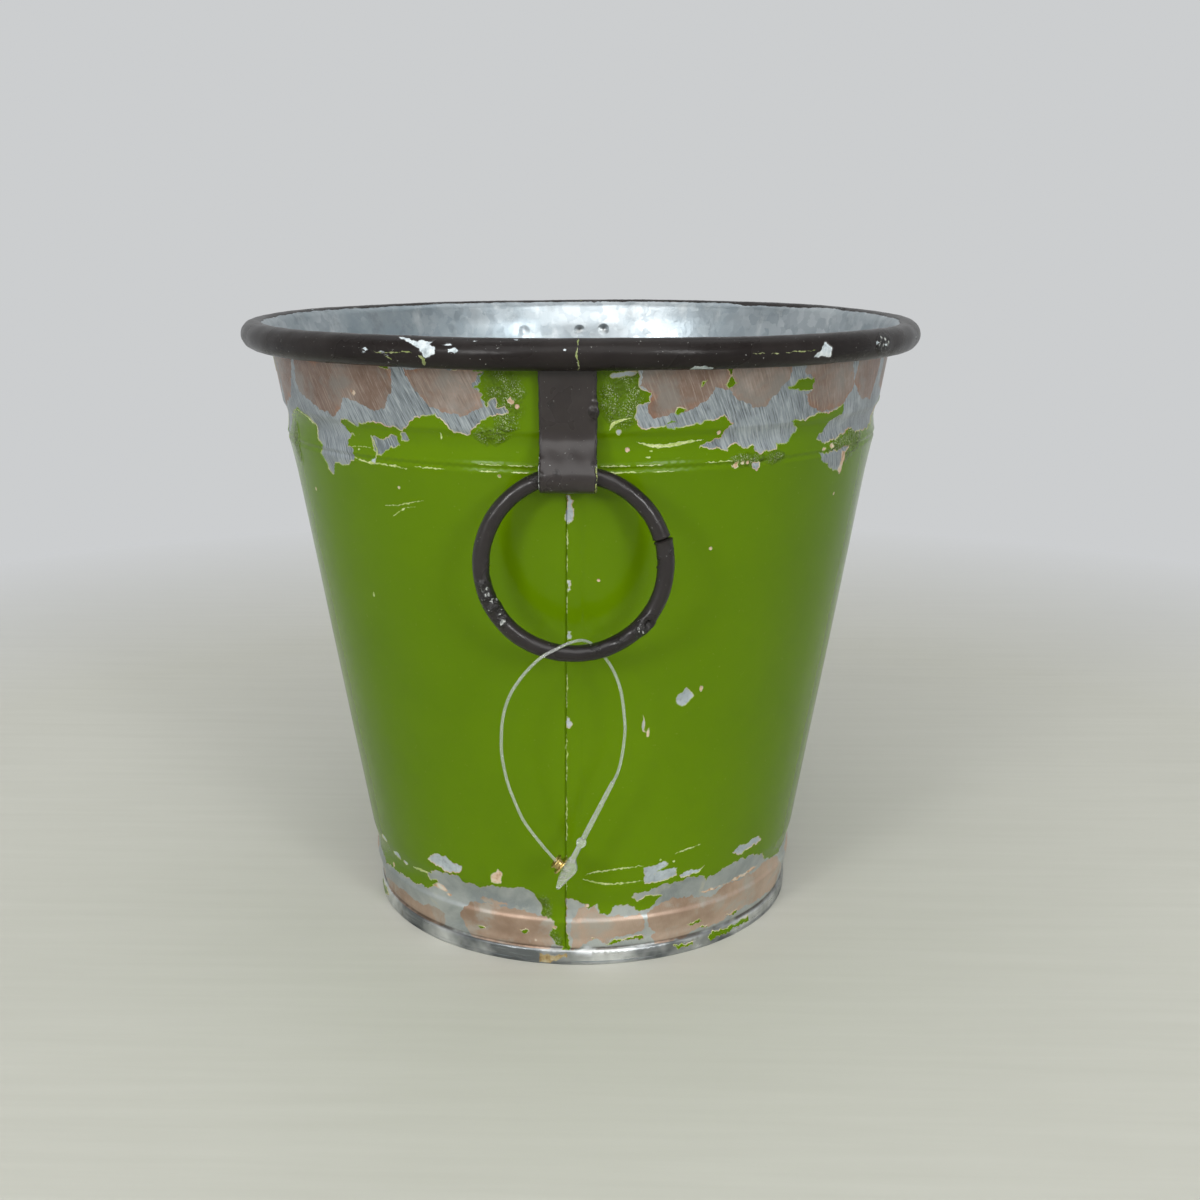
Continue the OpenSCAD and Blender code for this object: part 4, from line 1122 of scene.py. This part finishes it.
def make_shell():
    rows = [0.5, *np.arange(1.5, 5.2, 1.2), 5.4, 5.8, 6.1, 6.4, 6.8, 7.4, 9, 11, *np.arange(12.5, 16.3, 0.9),
            *np.arange(16.6, 20.4, 0.35), *np.arange(21.0, 31.5, 0.9), *np.arange(33, 172, 2.6),
            *np.arange(173.5, 184, 1.5), *np.arange(184.6, 193.2, 0.5), *np.arange(194, 197, 0.9),
            *np.arange(197.4, 201, 0.5), *np.arange(202.5, 218.5, 2.4), NECK_Z]
    rows = [float(r) for r in rows]
    patches = hem_below(wall_patches())
    wall = skin(rows, GIRTH, patches, base_of_wall, wall_place, wall_normal,
                ("green", "scuff"), seam_lines(), bare=SEAM_STRETCH)

    rim_rows = [float(r) for r in np.linspace(0, RIM_LONG, 27)]
    behind_at, inner_at = on_rim(179, 122)

    def base_of_rim(middle):
        beyond_band = (np.abs(middle[:, 0]) > behind_at - 2.0) & (middle[:, 1] < inner_at)
        return np.where(beyond_band, "inside", "brown")

    rim = skin(rim_rows, RIM_GIRTH, rim_marks(), base_of_rim, rim_place, rim_normal,
               ("brown", "yellow"), edge_kind="rim_edge")

    turns = np.linspace(-180, 180, COLUMNS + 1)
    dr, dz = rim_shift(turns)
    tangent = np.array([math.cos(NECK_A), math.sin(NECK_A)])
    neck_in = np.array([WALL_TOP_R - SHEET, NECK_Z])
    reach = math.sqrt((CURL_X - neck_in[0]) ** 2 + (CURL_Z - neck_in[1]) ** 2 - CURL_R ** 2)
    neck_out = neck_in + reach * tangent + SHEET * np.array([math.sin(NECK_A), -math.cos(NECK_A)])

    def ring_at(r, z, share):
        return round_to_xyz(turns, np.full(len(turns), r) + dr * share, z + dz * share)

    hidden = [wall_place(turns, np.full(len(turns), NECK_Z), np.full(len(turns), PAINT)),
              ring_at(*neck_out, 1.0)]
    for phi in np.linspace(RIM_START, RIM_END, 15)[1:]:
        a = math.radians(phi)
        hidden.append(ring_at(CURL_X + (CURL_R - SHEET) * math.cos(a),
                              CURL_Z + (CURL_R - SHEET) * math.sin(a), 1.0))
    hidden.append(rim_place(turns, np.full(len(turns), RIM_LONG), np.full(len(turns), PAINT)))
    curl = revolve(hidden, ["green"] + ["brown"] * (len(hidden) - 2))

    inner_rows = [rim_place(turns, np.zeros(len(turns)), np.zeros(len(turns)))]
    inner_rows.append(ring_at(*(neck_in + reach * 0.5 * tangent), 0.5))
    heights = [NECK_Z, 217, 213, 208, 203, 200.5, 199.3, 198, 195, 192, 190.3, 188.8, 187.3, 185.6, 181, 174]
    heights += list(np.arange(165, 32, -9)) + [30, 27, 25, 22, 19, 16, 13, 9, 6.6]
    for z in heights:
        zs = np.full(len(turns), float(z))
        inner_rows.append(wall_place(turns, zs, np.full(len(turns), -SHEET)))
    hem_in = BASE_R - SHEET - 1.1
    for r, z in ((BASE_R - SHEET, SHEET), (hem_in, SHEET), (hem_in, 4.4), (hem_in - SHEET, 4.4),
                 (hem_in - SHEET, 0.4), (hem_in - 0.4, 0.0), (BASE_R - 0.6, 0.0), (BASE_R - 0.15, 0.12)):
        inner_rows.append(ring_at(r, z, 0.0))
    inner_rows.append(wall_place(turns, np.full(len(turns), 0.5), np.zeros(len(turns))))
    lining = revolve(inner_rows, ["inside"] * (len(inner_rows) - 6) + ["hem"] * 5)

    slots = {"green": GREEN, "zinc": ZINC, "copper": COPPER, "edge": EDGE, "scuff": SCUFF, "primer": PRIMER,
             "brown": RIM_BROWN, "white": WHITE, "rim_edge": RIM_EDGE, "inside": INSIDE, "pale": PALE,
             "hem": HEM, "yellow": OLD_YELLOW, "ochre": OCHRE}
    shell = joined("bucket_shell", [wall, rim, curl, lining], slots)
    co = np.zeros(len(shell.data.vertices) * 3, np.float32)
    shell.data.vertices.foreach_get("co", co)
    co = co.reshape(-1, 3) / MM
    turn = np.degrees(np.arctan2(co[:, 0], -co[:, 1]))
    on_wall = np.hypot(co[:, 0], co[:, 1]) > np.interp(co[:, 2], PROFILE_Z, PROFILE_R) - 0.4
    on_wall &= co[:, 2] < NECK_Z + 0.2
    write_attribute(shell, "blister", np.where(on_wall, fade(turn, co[:, 2], BLISTERS), 0))
    write_attribute(shell, "margin", np.where(on_wall, from_edges(turn * GIRTH, co[:, 2], patches), 1))
    above_neck = co[:, 2] > NECK_Z - 0.2
    write_attribute(shell, "wear", np.where(above_neck, 0.52 * fade(turn, co[:, 2], RIM_WEAR), 0))
    return shell


shell = make_shell()
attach(shell, "bucket")
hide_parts("body")

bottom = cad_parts["bottom"]
bottom.data.materials.clear()
bottom.data.materials.append(BOTTOM)


# ---------------------------------------------------------------- straps
def smooth_mesh(name, verts, faces, material, sharp=None):
    """A mesh from points in mm, smooth where its faces turn by less than the sharp angle."""
    mesh = bpy.data.meshes.new(name)
    mesh.from_pydata([tuple(v) for v in (np.asarray(verts) * MM)], [], faces)
    mesh.update()
    bm = bmesh.new()
    bm.from_mesh(mesh)
    bmesh.ops.recalc_face_normals(bm, faces=bm.faces)
    bm.to_mesh(mesh)
    bm.free()
    mesh.polygons.foreach_set("use_smooth", [True] * len(mesh.polygons))
    if sharp:
        mesh.set_sharp_from_angle(angle=math.radians(sharp))
    mesh.materials.append(material)
    return link(name, mesh)


def arc(cx, cy, r, start, end, n):
    """Evenly spaced points on an arc, from start to end in degrees."""
    return [(cx + r * math.cos(math.radians(a)), cy + r * math.sin(math.radians(a)))
            for a in np.linspace(start, end, n)]


STRAP_W, STRAP_T, SLEEVE_R, LEAF_RISE = 18.0, 1.1, 4.1, 13.5
STRAP_TOP = NECK_Z + 0.8
WELD_GAP = 0.05                        # mm left between the strap and what it is welded to
PIVOT_Z = 186.2                        # height of the ring's pivot
STAND_OFF = 0.5                        # mm from the cone to the strap's inner face, without a pad
LEAN = math.atan((wall_r(STRAP_TOP) - wall_r(RIDGE_Z) - STAND_OFF) / (STRAP_TOP - RIDGE_Z))
PIVOT_V = (PIVOT_Z - RIDGE_Z + math.sin(LEAN) * (STRAP_T + SLEEVE_R)) / math.cos(LEAN)
LEAF_TOP = (STRAP_TOP - RIDGE_Z) / math.cos(LEAN)


def strap(name, pad, behind, seed):
    """A folded strip: its line runs down the wall side, round the ring's bore and up again under the rim.

    pad is what lies under it on the wall, in mm; behind turns it to the back of the bucket."""
    foot = wall_r(RIDGE_Z) + STAND_OFF + pad + WELD_GAP
    mid, bore, fold = STRAP_T / 2, (STRAP_T + SLEEVE_R, PIVOT_V), SLEEVE_R + STRAP_T / 2
    meet = (2 * STRAP_T, PIVOT_V + LEAF_RISE)
    reach = math.hypot(meet[0] - bore[0], LEAF_RISE)
    touch = math.atan2(LEAF_RISE, meet[0] - bore[0]) - math.acos((SLEEVE_R + STRAP_T) / reach)
    line = [(mid, v) for v in np.linspace(LEAF_TOP, PIVOT_V, 50)[:-1]]
    line += [(bore[0] + fold * math.cos(a), bore[1] + fold * math.sin(a))
             for a in np.linspace(math.pi, math.tau + touch, 34)]
    top = (1.5 * STRAP_T, meet[1] + 1.0)
    last = line[-1]
    lead = (-math.sin(touch), math.cos(touch))
    for i in range(1, 41):
        t = i / 40
        span = top[1] - last[1]
        a = (last[0] + lead[0] * span * 0.45, last[1] + lead[1] * span * 0.45)
        b = (top[0], top[1] - span * 0.45)
        line.append(tuple((1 - t) ** 3 * last[k] + 3 * (1 - t) ** 2 * t * a[k]
                          + 3 * (1 - t) * t * t * b[k] + t ** 3 * top[k] for k in (0, 1)))
    line += [(1.5 * STRAP_T, v) for v in np.linspace(top[1], LEAF_TOP, 60)[1:]]
    line = np.array(line)
    way = np.gradient(line, axis=0)
    way /= np.linalg.norm(way, axis=1, keepdims=True)
    out = np.stack([way[:, 1], -way[:, 0]], 1)
    half, thick, round_r = STRAP_W / 2, STRAP_T / 2 - 0.01, 0.42
    section = []
    flat_x, flat_y = half - round_r, thick - round_r
    for cx, cy, start in ((flat_x, flat_y, 0), (-flat_x, flat_y, 90), (-flat_x, -flat_y, 180),
                          (flat_x, -flat_y, 270)):
        corner = arc(cx, cy, round_r, start, start + 90, 5)
        section += corner
        if start in (0, 180):
            side = 1 if start == 0 else -1
            section += [(side * flat_x * (1 - k / 22), corner[-1][1]) for k in range(1, 44)]
    section = np.array(section)
    rings = []
    for i, (p, n) in enumerate(zip(line, out)):
        slack = 0.12 * math.sin(i * 0.21 + seed) + 0.08 * math.sin(i * 0.53)
        ring = []
        for a, o in section:
            wave = 0.05 * math.sin(a * 0.9 + i * 0.17 + seed) if abs(a) < half - 0.8 else 0.0
            ring.append((a + (slack if a > 0 else -slack * 0.6) * (abs(a) > half - 1.2),
                         p[0] + n[0] * (o + wave * (o > 0)), p[1] + n[1] * (o + wave * (o > 0))))
        rings.append(ring)
    rings = np.array(rings)
    count, size = rings.shape[:2]
    pts = rings.reshape(-1, 3)
    x, u, v = pts[:, 0], pts[:, 1], pts[:, 2]
    c, s = math.cos(LEAN), math.sin(LEAN)
    y = -(foot + u * c + v * s)
    z = RIDGE_Z + v * c - u * s
    ahead = u > 1.35
    y = y + 0.35 * np.exp(-((z - 196.3) / 4.2) ** 2)
    for at, tall, far in RUNS:
        near = np.exp(-((z - at) / tall) ** 2) * (x > half - 1.3) * ahead
        x, y = x + far * near, y - 0.5 * far * near
    for dx, dz, wide, deep in DIMPLES:
        y = y + np.where(ahead, deep * np.exp(-((x - dx) ** 2 + (z - dz) ** 2) / (2 * wide ** 2)), 0)
    if behind:
        x, y = -x, -y
    faces = between_rings(count, size) + over_ends(count, size)
    obj = smooth_mesh(name, np.stack([x, y, z], 1), faces, STRAP_BROWN, 40)
    edge = np.clip((np.abs(pts[:, 0]) - (half - 0.7)) / 0.5, 0, 1)
    low = np.clip((198 - z) / 8, 0, 1)
    spots = [np.exp(-((pts[:, 0] - at) ** 2 + (z - up) ** 2) / size ** 2) for at, up, size in CRUSTS]
    worn = np.maximum(edge * (0.25 + 0.4 * low), 0.36 * np.max(spots, axis=0) * ahead)
    write_attribute(obj, "wear", np.clip(worn, 0, 1))
    right = (pts[:, 0] > half - 0.6) & (z < 190) & ahead
    write_attribute(obj, "yellow", np.where(right, 0.72, 0.0) * (0.0 if behind else 1.0))
    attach(obj, "bucket")
    return obj


# Runs and beads of paint at the strap's right edge: height, half height and width in mm
RUNS = [(206.2, 1.5, 0.85), (209.2, 0.7, 0.35), (203.2, 0.6, 0.25), (191.5, 0.9, 0.3), (187.0, 1.2, 0.35),
        (214, 1, 0.15)]
# Weld dimples and lumps in the strap's paint: across, height, spread and depth in mm
DIMPLES = [(-5.0, 208.7, 0.7, 0.5), (-5.0, 208.7, 1.4, -0.2), (8.0, 206.6, 0.9, -1.0),
           (8.1, 204.6, 0.6, -0.7), (8.2, 209.6, 0.55, -0.5), (8.2, 211.6, 0.4, -0.3),
           (0.5, 190.0, 4.0, 0.12), (-6.5, 185.6, 1.2, -0.18), (3.2, 183.8, 0.8, 0.2),
           (-8.3, 192.0, 0.5, -0.3), (-8.2, 187.5, 0.6, -0.35), (-3.4, 188.3, 0.5, 0.25)]
# Dark crusts in that paint: across, height and size in mm
CRUSTS = [(-5.0, 208.7, 0.9), (8.2, 206.2, 1.6), (8.4, 190.5, 1.0), (-8.3, 187.5, 1.0), (-3.4, 188.3, 0.8)]
front_strap = strap("front_strap_folded", 0.6, False, 3)
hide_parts("front_strap")
rear_strap = strap("rear_strap_folded", 0.0, True, 8)
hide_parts("rear_strap")

# ---------------------------------------------------------------- rings
RING_R, ROD_R = 29.25, 2.75
FRONT_RING_AT = (1.5, -117.47, 157.93)     # the rings' middles in mm
REAR_RING_AT = (0.0, -116.87, 157.66)      # turned half round to the back by ring()


def ring(name, centre, behind, body, seed, marks):
    """A bent rod with butted ends.

    Marks are: degrees round the ring, degrees round the rod, two spreads in degrees, height in mm, wear."""
    rng = np.random.default_rng(seed)
    joint, gap = 17.0, 0.25            # the butt joint's place and half width, in degrees
    steps, sides = 420, 28             # points round the ring and round the rod
    turns = np.linspace(joint + gap, joint + 360 - gap, steps)
    around = np.linspace(0, 360, sides, endpoint=False)
    T, A = np.meshgrid(turns, around, indexing="ij")
    rod = np.full(T.shape, ROD_R)
    rod += 0.035 * np.sin(np.radians(T * 5 + A * 2 + seed)) + 0.03 * np.sin(np.radians(T * 13 - A * 3))
    rod += (0.02 * np.sin(np.radians(T * 37 + A * 5 + 40 * np.sin(np.radians(T * 9))))
            + rng.normal(0, 0.006, T.shape))
    wear = np.zeros(T.shape)
    for at, side, wide, tall, high, worn in marks:
        d1 = (T - at + 180) % 360 - 180
        d2 = (A - side + 180) % 360 - 180
        near = np.exp(-(d1 / wide) ** 2 - (d2 / tall) ** 2)
        rod += high * near * (1 + 0.35 * np.sin(np.radians(T * 47)) * np.sin(np.radians(A * 6)))
        wear = np.maximum(wear, worn * np.clip(near * 1.7, 0, 1))
    from_joint = np.minimum(T - joint, joint + 360 - T)
    lip = np.exp(-((from_joint - 1.2) / 1.0) ** 2)
    rod += np.where(T - joint > 180, 0.32, 0.10) * lip - 0.70 * np.exp(-(from_joint / 0.55) ** 2)
    rod += np.where(T - joint > 180, 0.10, 0.0) * np.clip(1 - from_joint / 14, 0, 1)
    big = RING_R + 0.12 * np.sin(np.radians(2 * T + 40))
    big = big + np.where(T - joint > 180, 0.22, -0.05) * np.clip(1 - from_joint / 9, 0, 1)
    t, a = np.radians(T), np.radians(A)
    r = big + rod * np.cos(a)
    x, y, z = centre[0] + r * np.cos(t), centre[1] - rod * np.sin(a), centre[2] + r * np.sin(t)
    if behind:
        x, y = -x, -y
    pts = np.stack([x, y, z], -1).reshape(-1, 3)
    faces = between_rings(steps, sides) + over_ends(steps, sides)
    obj = smooth_mesh(name, pts, faces, RING_BROWN, 60)
    write_attribute(obj, "wear", wear.ravel())
    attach(obj, body)
    return obj


# A side of 90 degrees faces the viewer, 0 points out of the ring and 180 into it
RING_MARKS = [(-39, 54, 5.5, 58, 0.95, 0.32), (-38, 66, 3, 27, -2.3, 0), (-44, 74, 2, 36, 0.3, 0.54),
              (-47, 60, 1.5, 40, 0.2, 0.5), (-57, 90, 4, 40, 0.1, 0.34), (-141, 100, 2, 34, -0.35, 0.72),
              (-144, 80, 1.2, 24, -0.25, 0.48), (-147, 128, 3, 40, -0.5, 0.5), (-152, 105, 2.5, 60, 0.4, 0.5),
              (-156, 130, 2, 50, -0.55, 0.52), (-160, 90, 2.5, 60, 0.4, 0.5), (-164, 104, 3, 44, -0.4, 0.56),
              (-168, 80, 2.5, 40, 0.3, 0.42), (-150, 165, 9, 34, 0.45, 0.42), (-173, 150, 4, 40, -0.3, 0.36),
              (-182, 160, 2, 30, 0.2, 0.2), (104, 90, 5, 60, 0.1, 0.36), (112, 40, 3, 50, 0.1, 0.4),
              (-75, 120, 3, 30, 0, 0.38), (9, 30, 2, 30, 0, 0.38), (6, 150, 1.4, 30, 0.25, 0.2),
              (-1, 170, 1.2, 30, 0.3, 0.2)]
REAR_MARKS = [(-120, 60, 4, 50, -0.2, 0.7), (-60, 110, 5, 50, 0.2, 0.5), (150, 90, 4, 50, 0.1, 0.4),
              (-20, 90, 2, 30, -0.2, 0.8)]
front_ring = ring("front_ring_bent", FRONT_RING_AT, False, "front_handle", 5, RING_MARKS)
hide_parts("front_ring")
rear_ring = ring("rear_ring_bent", REAR_RING_AT, True, "rear_handle", 12, REAR_MARKS)
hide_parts("rear_ring")


# ---------------------------------------------------------------- the tag's lock and eyelet
LATHE_SIDES = 28
# Places in mm and tilts in degrees
LOCK_AT, LOCK_TILT = (14.1, -107.5, 81), (6.6, 24.9, 0)
EYELET_AT, EYELET_TILT = [-4.7, -103, 49.2], 129


def lathe(profile):
    """Points and faces of a turned surface from (radius, height) pairs, with open ends."""
    steps = [k * math.tau / LATHE_SIDES for k in range(LATHE_SIDES)]
    verts = [(r * math.cos(a), r * math.sin(a), z) for r, z in profile for a in steps]
    return verts, between_rings(len(profile), LATHE_SIDES)


def tag_lock():
    """The moulded leg with its ball, and the lock head with ribs on both sides."""
    leg, neck = 26.0, 33.4
    head = neck + 0.4
    prof = [(0.02, -neck - 1.2), (0.7, -neck - 1.05), (1.15, -neck - 0.55), (1.25, -neck),
            (1.12, -neck + 0.6), (0.98, -neck + 1.2)]
    prof += [(0.95, -leg - 1.9)] + arc(0, -leg, 1.75, -60, 58, 12) + [(0.95, -leg + 1.75)]
    prof += [(0.92 - 0.17 * k / 8, -leg + 2.0 + (leg - 2.6) * k / 8) for k in range(9)]
    prof += [(0.70, -0.25), (0.52, -0.05), (0.02, 0.0)]
    verts, faces = lathe(prof)
    bm = bmesh.new()
    made = [bm.verts.new(v) for v in verts]
    for f in faces:
        bm.faces.new([made[i] for i in f])
    outline = [(-1.2, -head), (1.2, -head + 0.4), (3, -head - 2), (3, -head - 3.4), (1.25, -head - 9),
               (0.7, -head - 11.6), (-0.2, -head - 12.2), (-0.8, -head - 11.4), (-1.3, -head - 9),
               (-1.5, -head - 4)]
    half_thick = 1.45
    front = [bm.verts.new((x, -half_thick, z)) for x, z in outline]
    back = [bm.verts.new((x, half_thick, z)) for x, z in outline]
    edge_faces = [bm.faces.new(front), bm.faces.new(back[::-1])]
    for i in range(len(outline)):
        j = (i + 1) % len(outline)
        edge_faces.append(bm.faces.new([front[i], back[i], back[j], front[j]]))
    edges = list(dict.fromkeys(e for f in edge_faces for e in f.edges))
    bmesh.ops.bevel(bm, geom=edges, offset=0.32, segments=3, affect="EDGES", profile=0.6)
    for k in range(4):
        z = -head - 3.6 - k * 1.5
        for side in (-1, 1):
            wide = 1.15 - 0.12 * k
            rib = [(-wide, z - 0.22), (wide, z + 0.12), (wide, z + 0.62), (-wide, z + 0.28)]
            lower = [bm.verts.new((x - 0.1, side * 1.30, h)) for x, h in rib]
            upper = [bm.verts.new((x * 0.9 - 0.1, side * 1.68, h + 0.05)) for x, h in rib]
            bm.faces.new(lower if side < 0 else lower[::-1])
            bm.faces.new(upper[::-1] if side < 0 else upper)
            for i in range(4):
                j = (i + 1) % 4
                bm.faces.new([lower[i], upper[i], upper[j], lower[j]])
    bmesh.ops.recalc_face_normals(bm, faces=bm.faces)
    turn = Euler([math.radians(a) for a in LOCK_TILT], "XYZ").to_matrix().to_4x4()
    bmesh.ops.transform(bm, matrix=Matrix.Translation(LOCK_AT) @ turn, verts=bm.verts)
    bmesh.ops.scale(bm, vec=(MM, MM, MM), verts=bm.verts)
    mesh = bpy.data.meshes.new("tag_lock_moulded")
    bm.to_mesh(mesh)
    bm.free()
    mesh.polygons.foreach_set("use_smooth", [True] * len(mesh.polygons))
    mesh.set_sharp_from_angle(angle=math.radians(35))
    mesh.materials.append(CLEAR)
    obj = link("tag_lock_moulded", mesh)
    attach(obj, "front_handle")
    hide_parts("tag_lock")
    return obj


def tag_eyelet():
    """A rolled eyelet: a flat head and a turned-over tail round a short tube."""
    half, bore, head, tail = 1.4, 1.5, 3.6, 2.6
    prof = arc(1.95, -half + 0.42, 0.42, 180, 300, 6) + arc(tail - 0.3, -half + 0.36, 0.36, -80, 90, 7)
    prof += [(2.08, -half + 0.75), (2.0, 0.0), (2.05, half - 0.75), (head - 0.45, half - 0.72)]
    prof += arc(head - 0.34, half - 0.36, 0.34, -90, 100, 8)
    prof += arc(2.05, half - 0.45, 0.5, 80, 180, 6) + [(bore, 0.0)]
    verts, faces = lathe(prof + prof[:1])
    verts = np.array(verts[:-LATHE_SIDES])
    n = len(verts)
    faces = [tuple(i % n for i in f) for f in faces]
    turn = np.array(Euler((0, math.radians(EYELET_TILT), 0), "XYZ").to_matrix())
    obj = smooth_mesh("tag_eyelet_rolled", verts @ turn.T + np.array(EYELET_AT), faces, BRASS, 50)
    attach(obj, "front_handle")
    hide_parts("tag_eyelet")
    return obj


lock, eyelet = tag_lock(), tag_eyelet()


# ---------------------------------------------------------------- stage and light
PALE_COLOR, PALE_STRENGTH = (0.965, 0.985, 1.0, 1.0), 0.625


def seen_rays(tree):
    """1 for the rays that show the background: straight from the camera, or off metal or through plastic."""
    path = tree.nodes.new("ShaderNodeLightPath")
    total = path.outputs["Is Camera Ray"]
    for other in ("Is Glossy Ray", "Is Transmission Ray"):
        larger = tree.nodes.new("ShaderNodeMath")
        larger.operation = "MAXIMUM"
        tree.links.new(total, larger.inputs[0])
        tree.links.new(path.outputs[other], larger.inputs[1])
        total = larger.outputs[0]
    return total


def stage_material(name, tones, scale, pale_from=None):
    """Faintly brushed paint between two tones, seen as plain and pale.

    With pale_from, two distances from the middle in metres, the paleness comes in between them."""
    n = Nodes(name)
    tone = n.noise(scale, 5.0, 0.6)
    grain = n.noise(1.0, 4.0, 0.6, n.vmath("MULTIPLY", n.coord, (9.0, 160.0, 40.0)))
    share = n.level(n.math("ADD", n.math("MULTIPLY", tone, 0.5), n.math("MULTIPLY", grain, 0.5)), 0.38, 0.62)
    base = n.mix(share, *tones)
    n.set(color=base, rough=0.55, spec=0.3, normal=n.bump(grain, 0.05, 0.0005))
    glow = n.tree.nodes.new("ShaderNodeEmission")
    glow.inputs[0].default_value = PALE_COLOR
    glow.inputs[1].default_value = PALE_STRENGTH
    either = n.tree.nodes.new("ShaderNodeMixShader")
    seen = seen_rays(n.tree)
    if pale_from:
        x, y, _ = n.xyz(n.coord)
        away = n.math("SQRT", n.math("ADD", n.math("MULTIPLY", x, x), n.math("MULTIPLY", y, y)))
        seen = n.math("MULTIPLY", seen, n.level(away, *pale_from))
    n.put(either.inputs[0], seen)
    n.wire(n.bsdf.outputs[0], either.inputs[1])
    n.wire(glow.outputs[0], either.inputs[2])
    n.wire(either.outputs[0], n.out.inputs[0])
    return n.mat


def flat_sheet(name, corners, material):
    mesh = bpy.data.meshes.new(name)
    mesh.from_pydata(corners, [], [(0, 1, 2, 3)])
    mesh.materials.append(material)
    obj = link(name, mesh)
    return obj


BACKDROP_Y = 1.1
FLOOR_TONES = ((0.515, 0.515, 0.455), (0.550, 0.550, 0.490))
WALL_TONES = ((0.655, 0.665, 0.680), (0.680, 0.690, 0.705))
flat_sheet("stage_floor", [(-6, -6, 0), (6, -6, 0), (6, BACKDROP_Y, 0), (-6, BACKDROP_Y, 0)],
           stage_material("stage_floor", FLOOR_TONES, 3.0, pale_from=(0.38, 0.75)))
flat_sheet("stage_backdrop", [(-6, BACKDROP_Y, 0), (6, BACKDROP_Y, 0), (6, BACKDROP_Y, 5),
                              (-6, BACKDROP_Y, 5)],
           stage_material("stage_backdrop", WALL_TONES, 1.0))


def area_light(name, at, target, size, power, color=(1, 1, 1)):
    data = bpy.data.lights.new(name, "AREA")
    data.shape = "RECTANGLE"
    data.size, data.size_y = size
    data.energy = power
    data.color = color
    lamp = link(name, data)
    lamp.location = at
    lamp.rotation_euler = (Vector(target) - Vector(at)).to_track_quat("-Z", "Y").to_euler()
    return lamp


area_light("key_left", (-1.10, -1.72, 0.80), (0, 0, 0.12), (0.4, 0.4), 12.5)
area_light("key_right", (1.10, -1.72, 0.80), (0, 0, 0.12), (0.4, 0.4), 11.5)
area_light("front_fill", (0, -1.7, 1.75), (0, 0, 0.10), (2.4, 1.6), 33)
area_light("overhead", (0, 0.5, 2.3), (0, 0.2, 0), (2.6, 2.6), 18)

world = bpy.data.worlds.new("soft_room")
bpy.context.scene.world = world
world.use_nodes = True
tree = world.node_tree
sky = tree.nodes["Background"]
sky.inputs[0].default_value = (0.95, 0.97, 1.0, 1.0)
room = tree.nodes.new("ShaderNodeTexCoord")
apart = tree.nodes.new("ShaderNodeSeparateXYZ")
tree.links.new(room.outputs["Generated"], apart.inputs[0])


def strength_by_height(background, low, high, at_low, at_high):
    """Sets how bright a background is by how far up the ray points: at_low below low, at_high above high."""
    fall = tree.nodes.new("ShaderNodeMapRange")
    tree.links.new(apart.outputs["Z"], fall.inputs["Value"])
    for socket, number in zip(("From Min", "From Max", "To Min", "To Max"), (low, high, at_low, at_high)):
        fall.inputs[socket].default_value = number
    tree.links.new(fall.outputs[0], background.inputs[1])


strength_by_height(sky, 0.1, 0.8, 0.12, 0.38)
pale = tree.nodes.new("ShaderNodeBackground")
pale.inputs[0].default_value = PALE_COLOR
strength_by_height(pale, 0.34, 0.50, PALE_STRENGTH, 0.26)
either = tree.nodes.new("ShaderNodeMixShader")
tree.links.new(seen_rays(tree), either.inputs[0])
tree.links.new(sky.outputs[0], either.inputs[1])
tree.links.new(pale.outputs[0], either.inputs[2])
tree.links.new(either.outputs[0], tree.nodes["World Output"].inputs[0])

bpy.context.scene.view_settings.view_transform = "Standard"
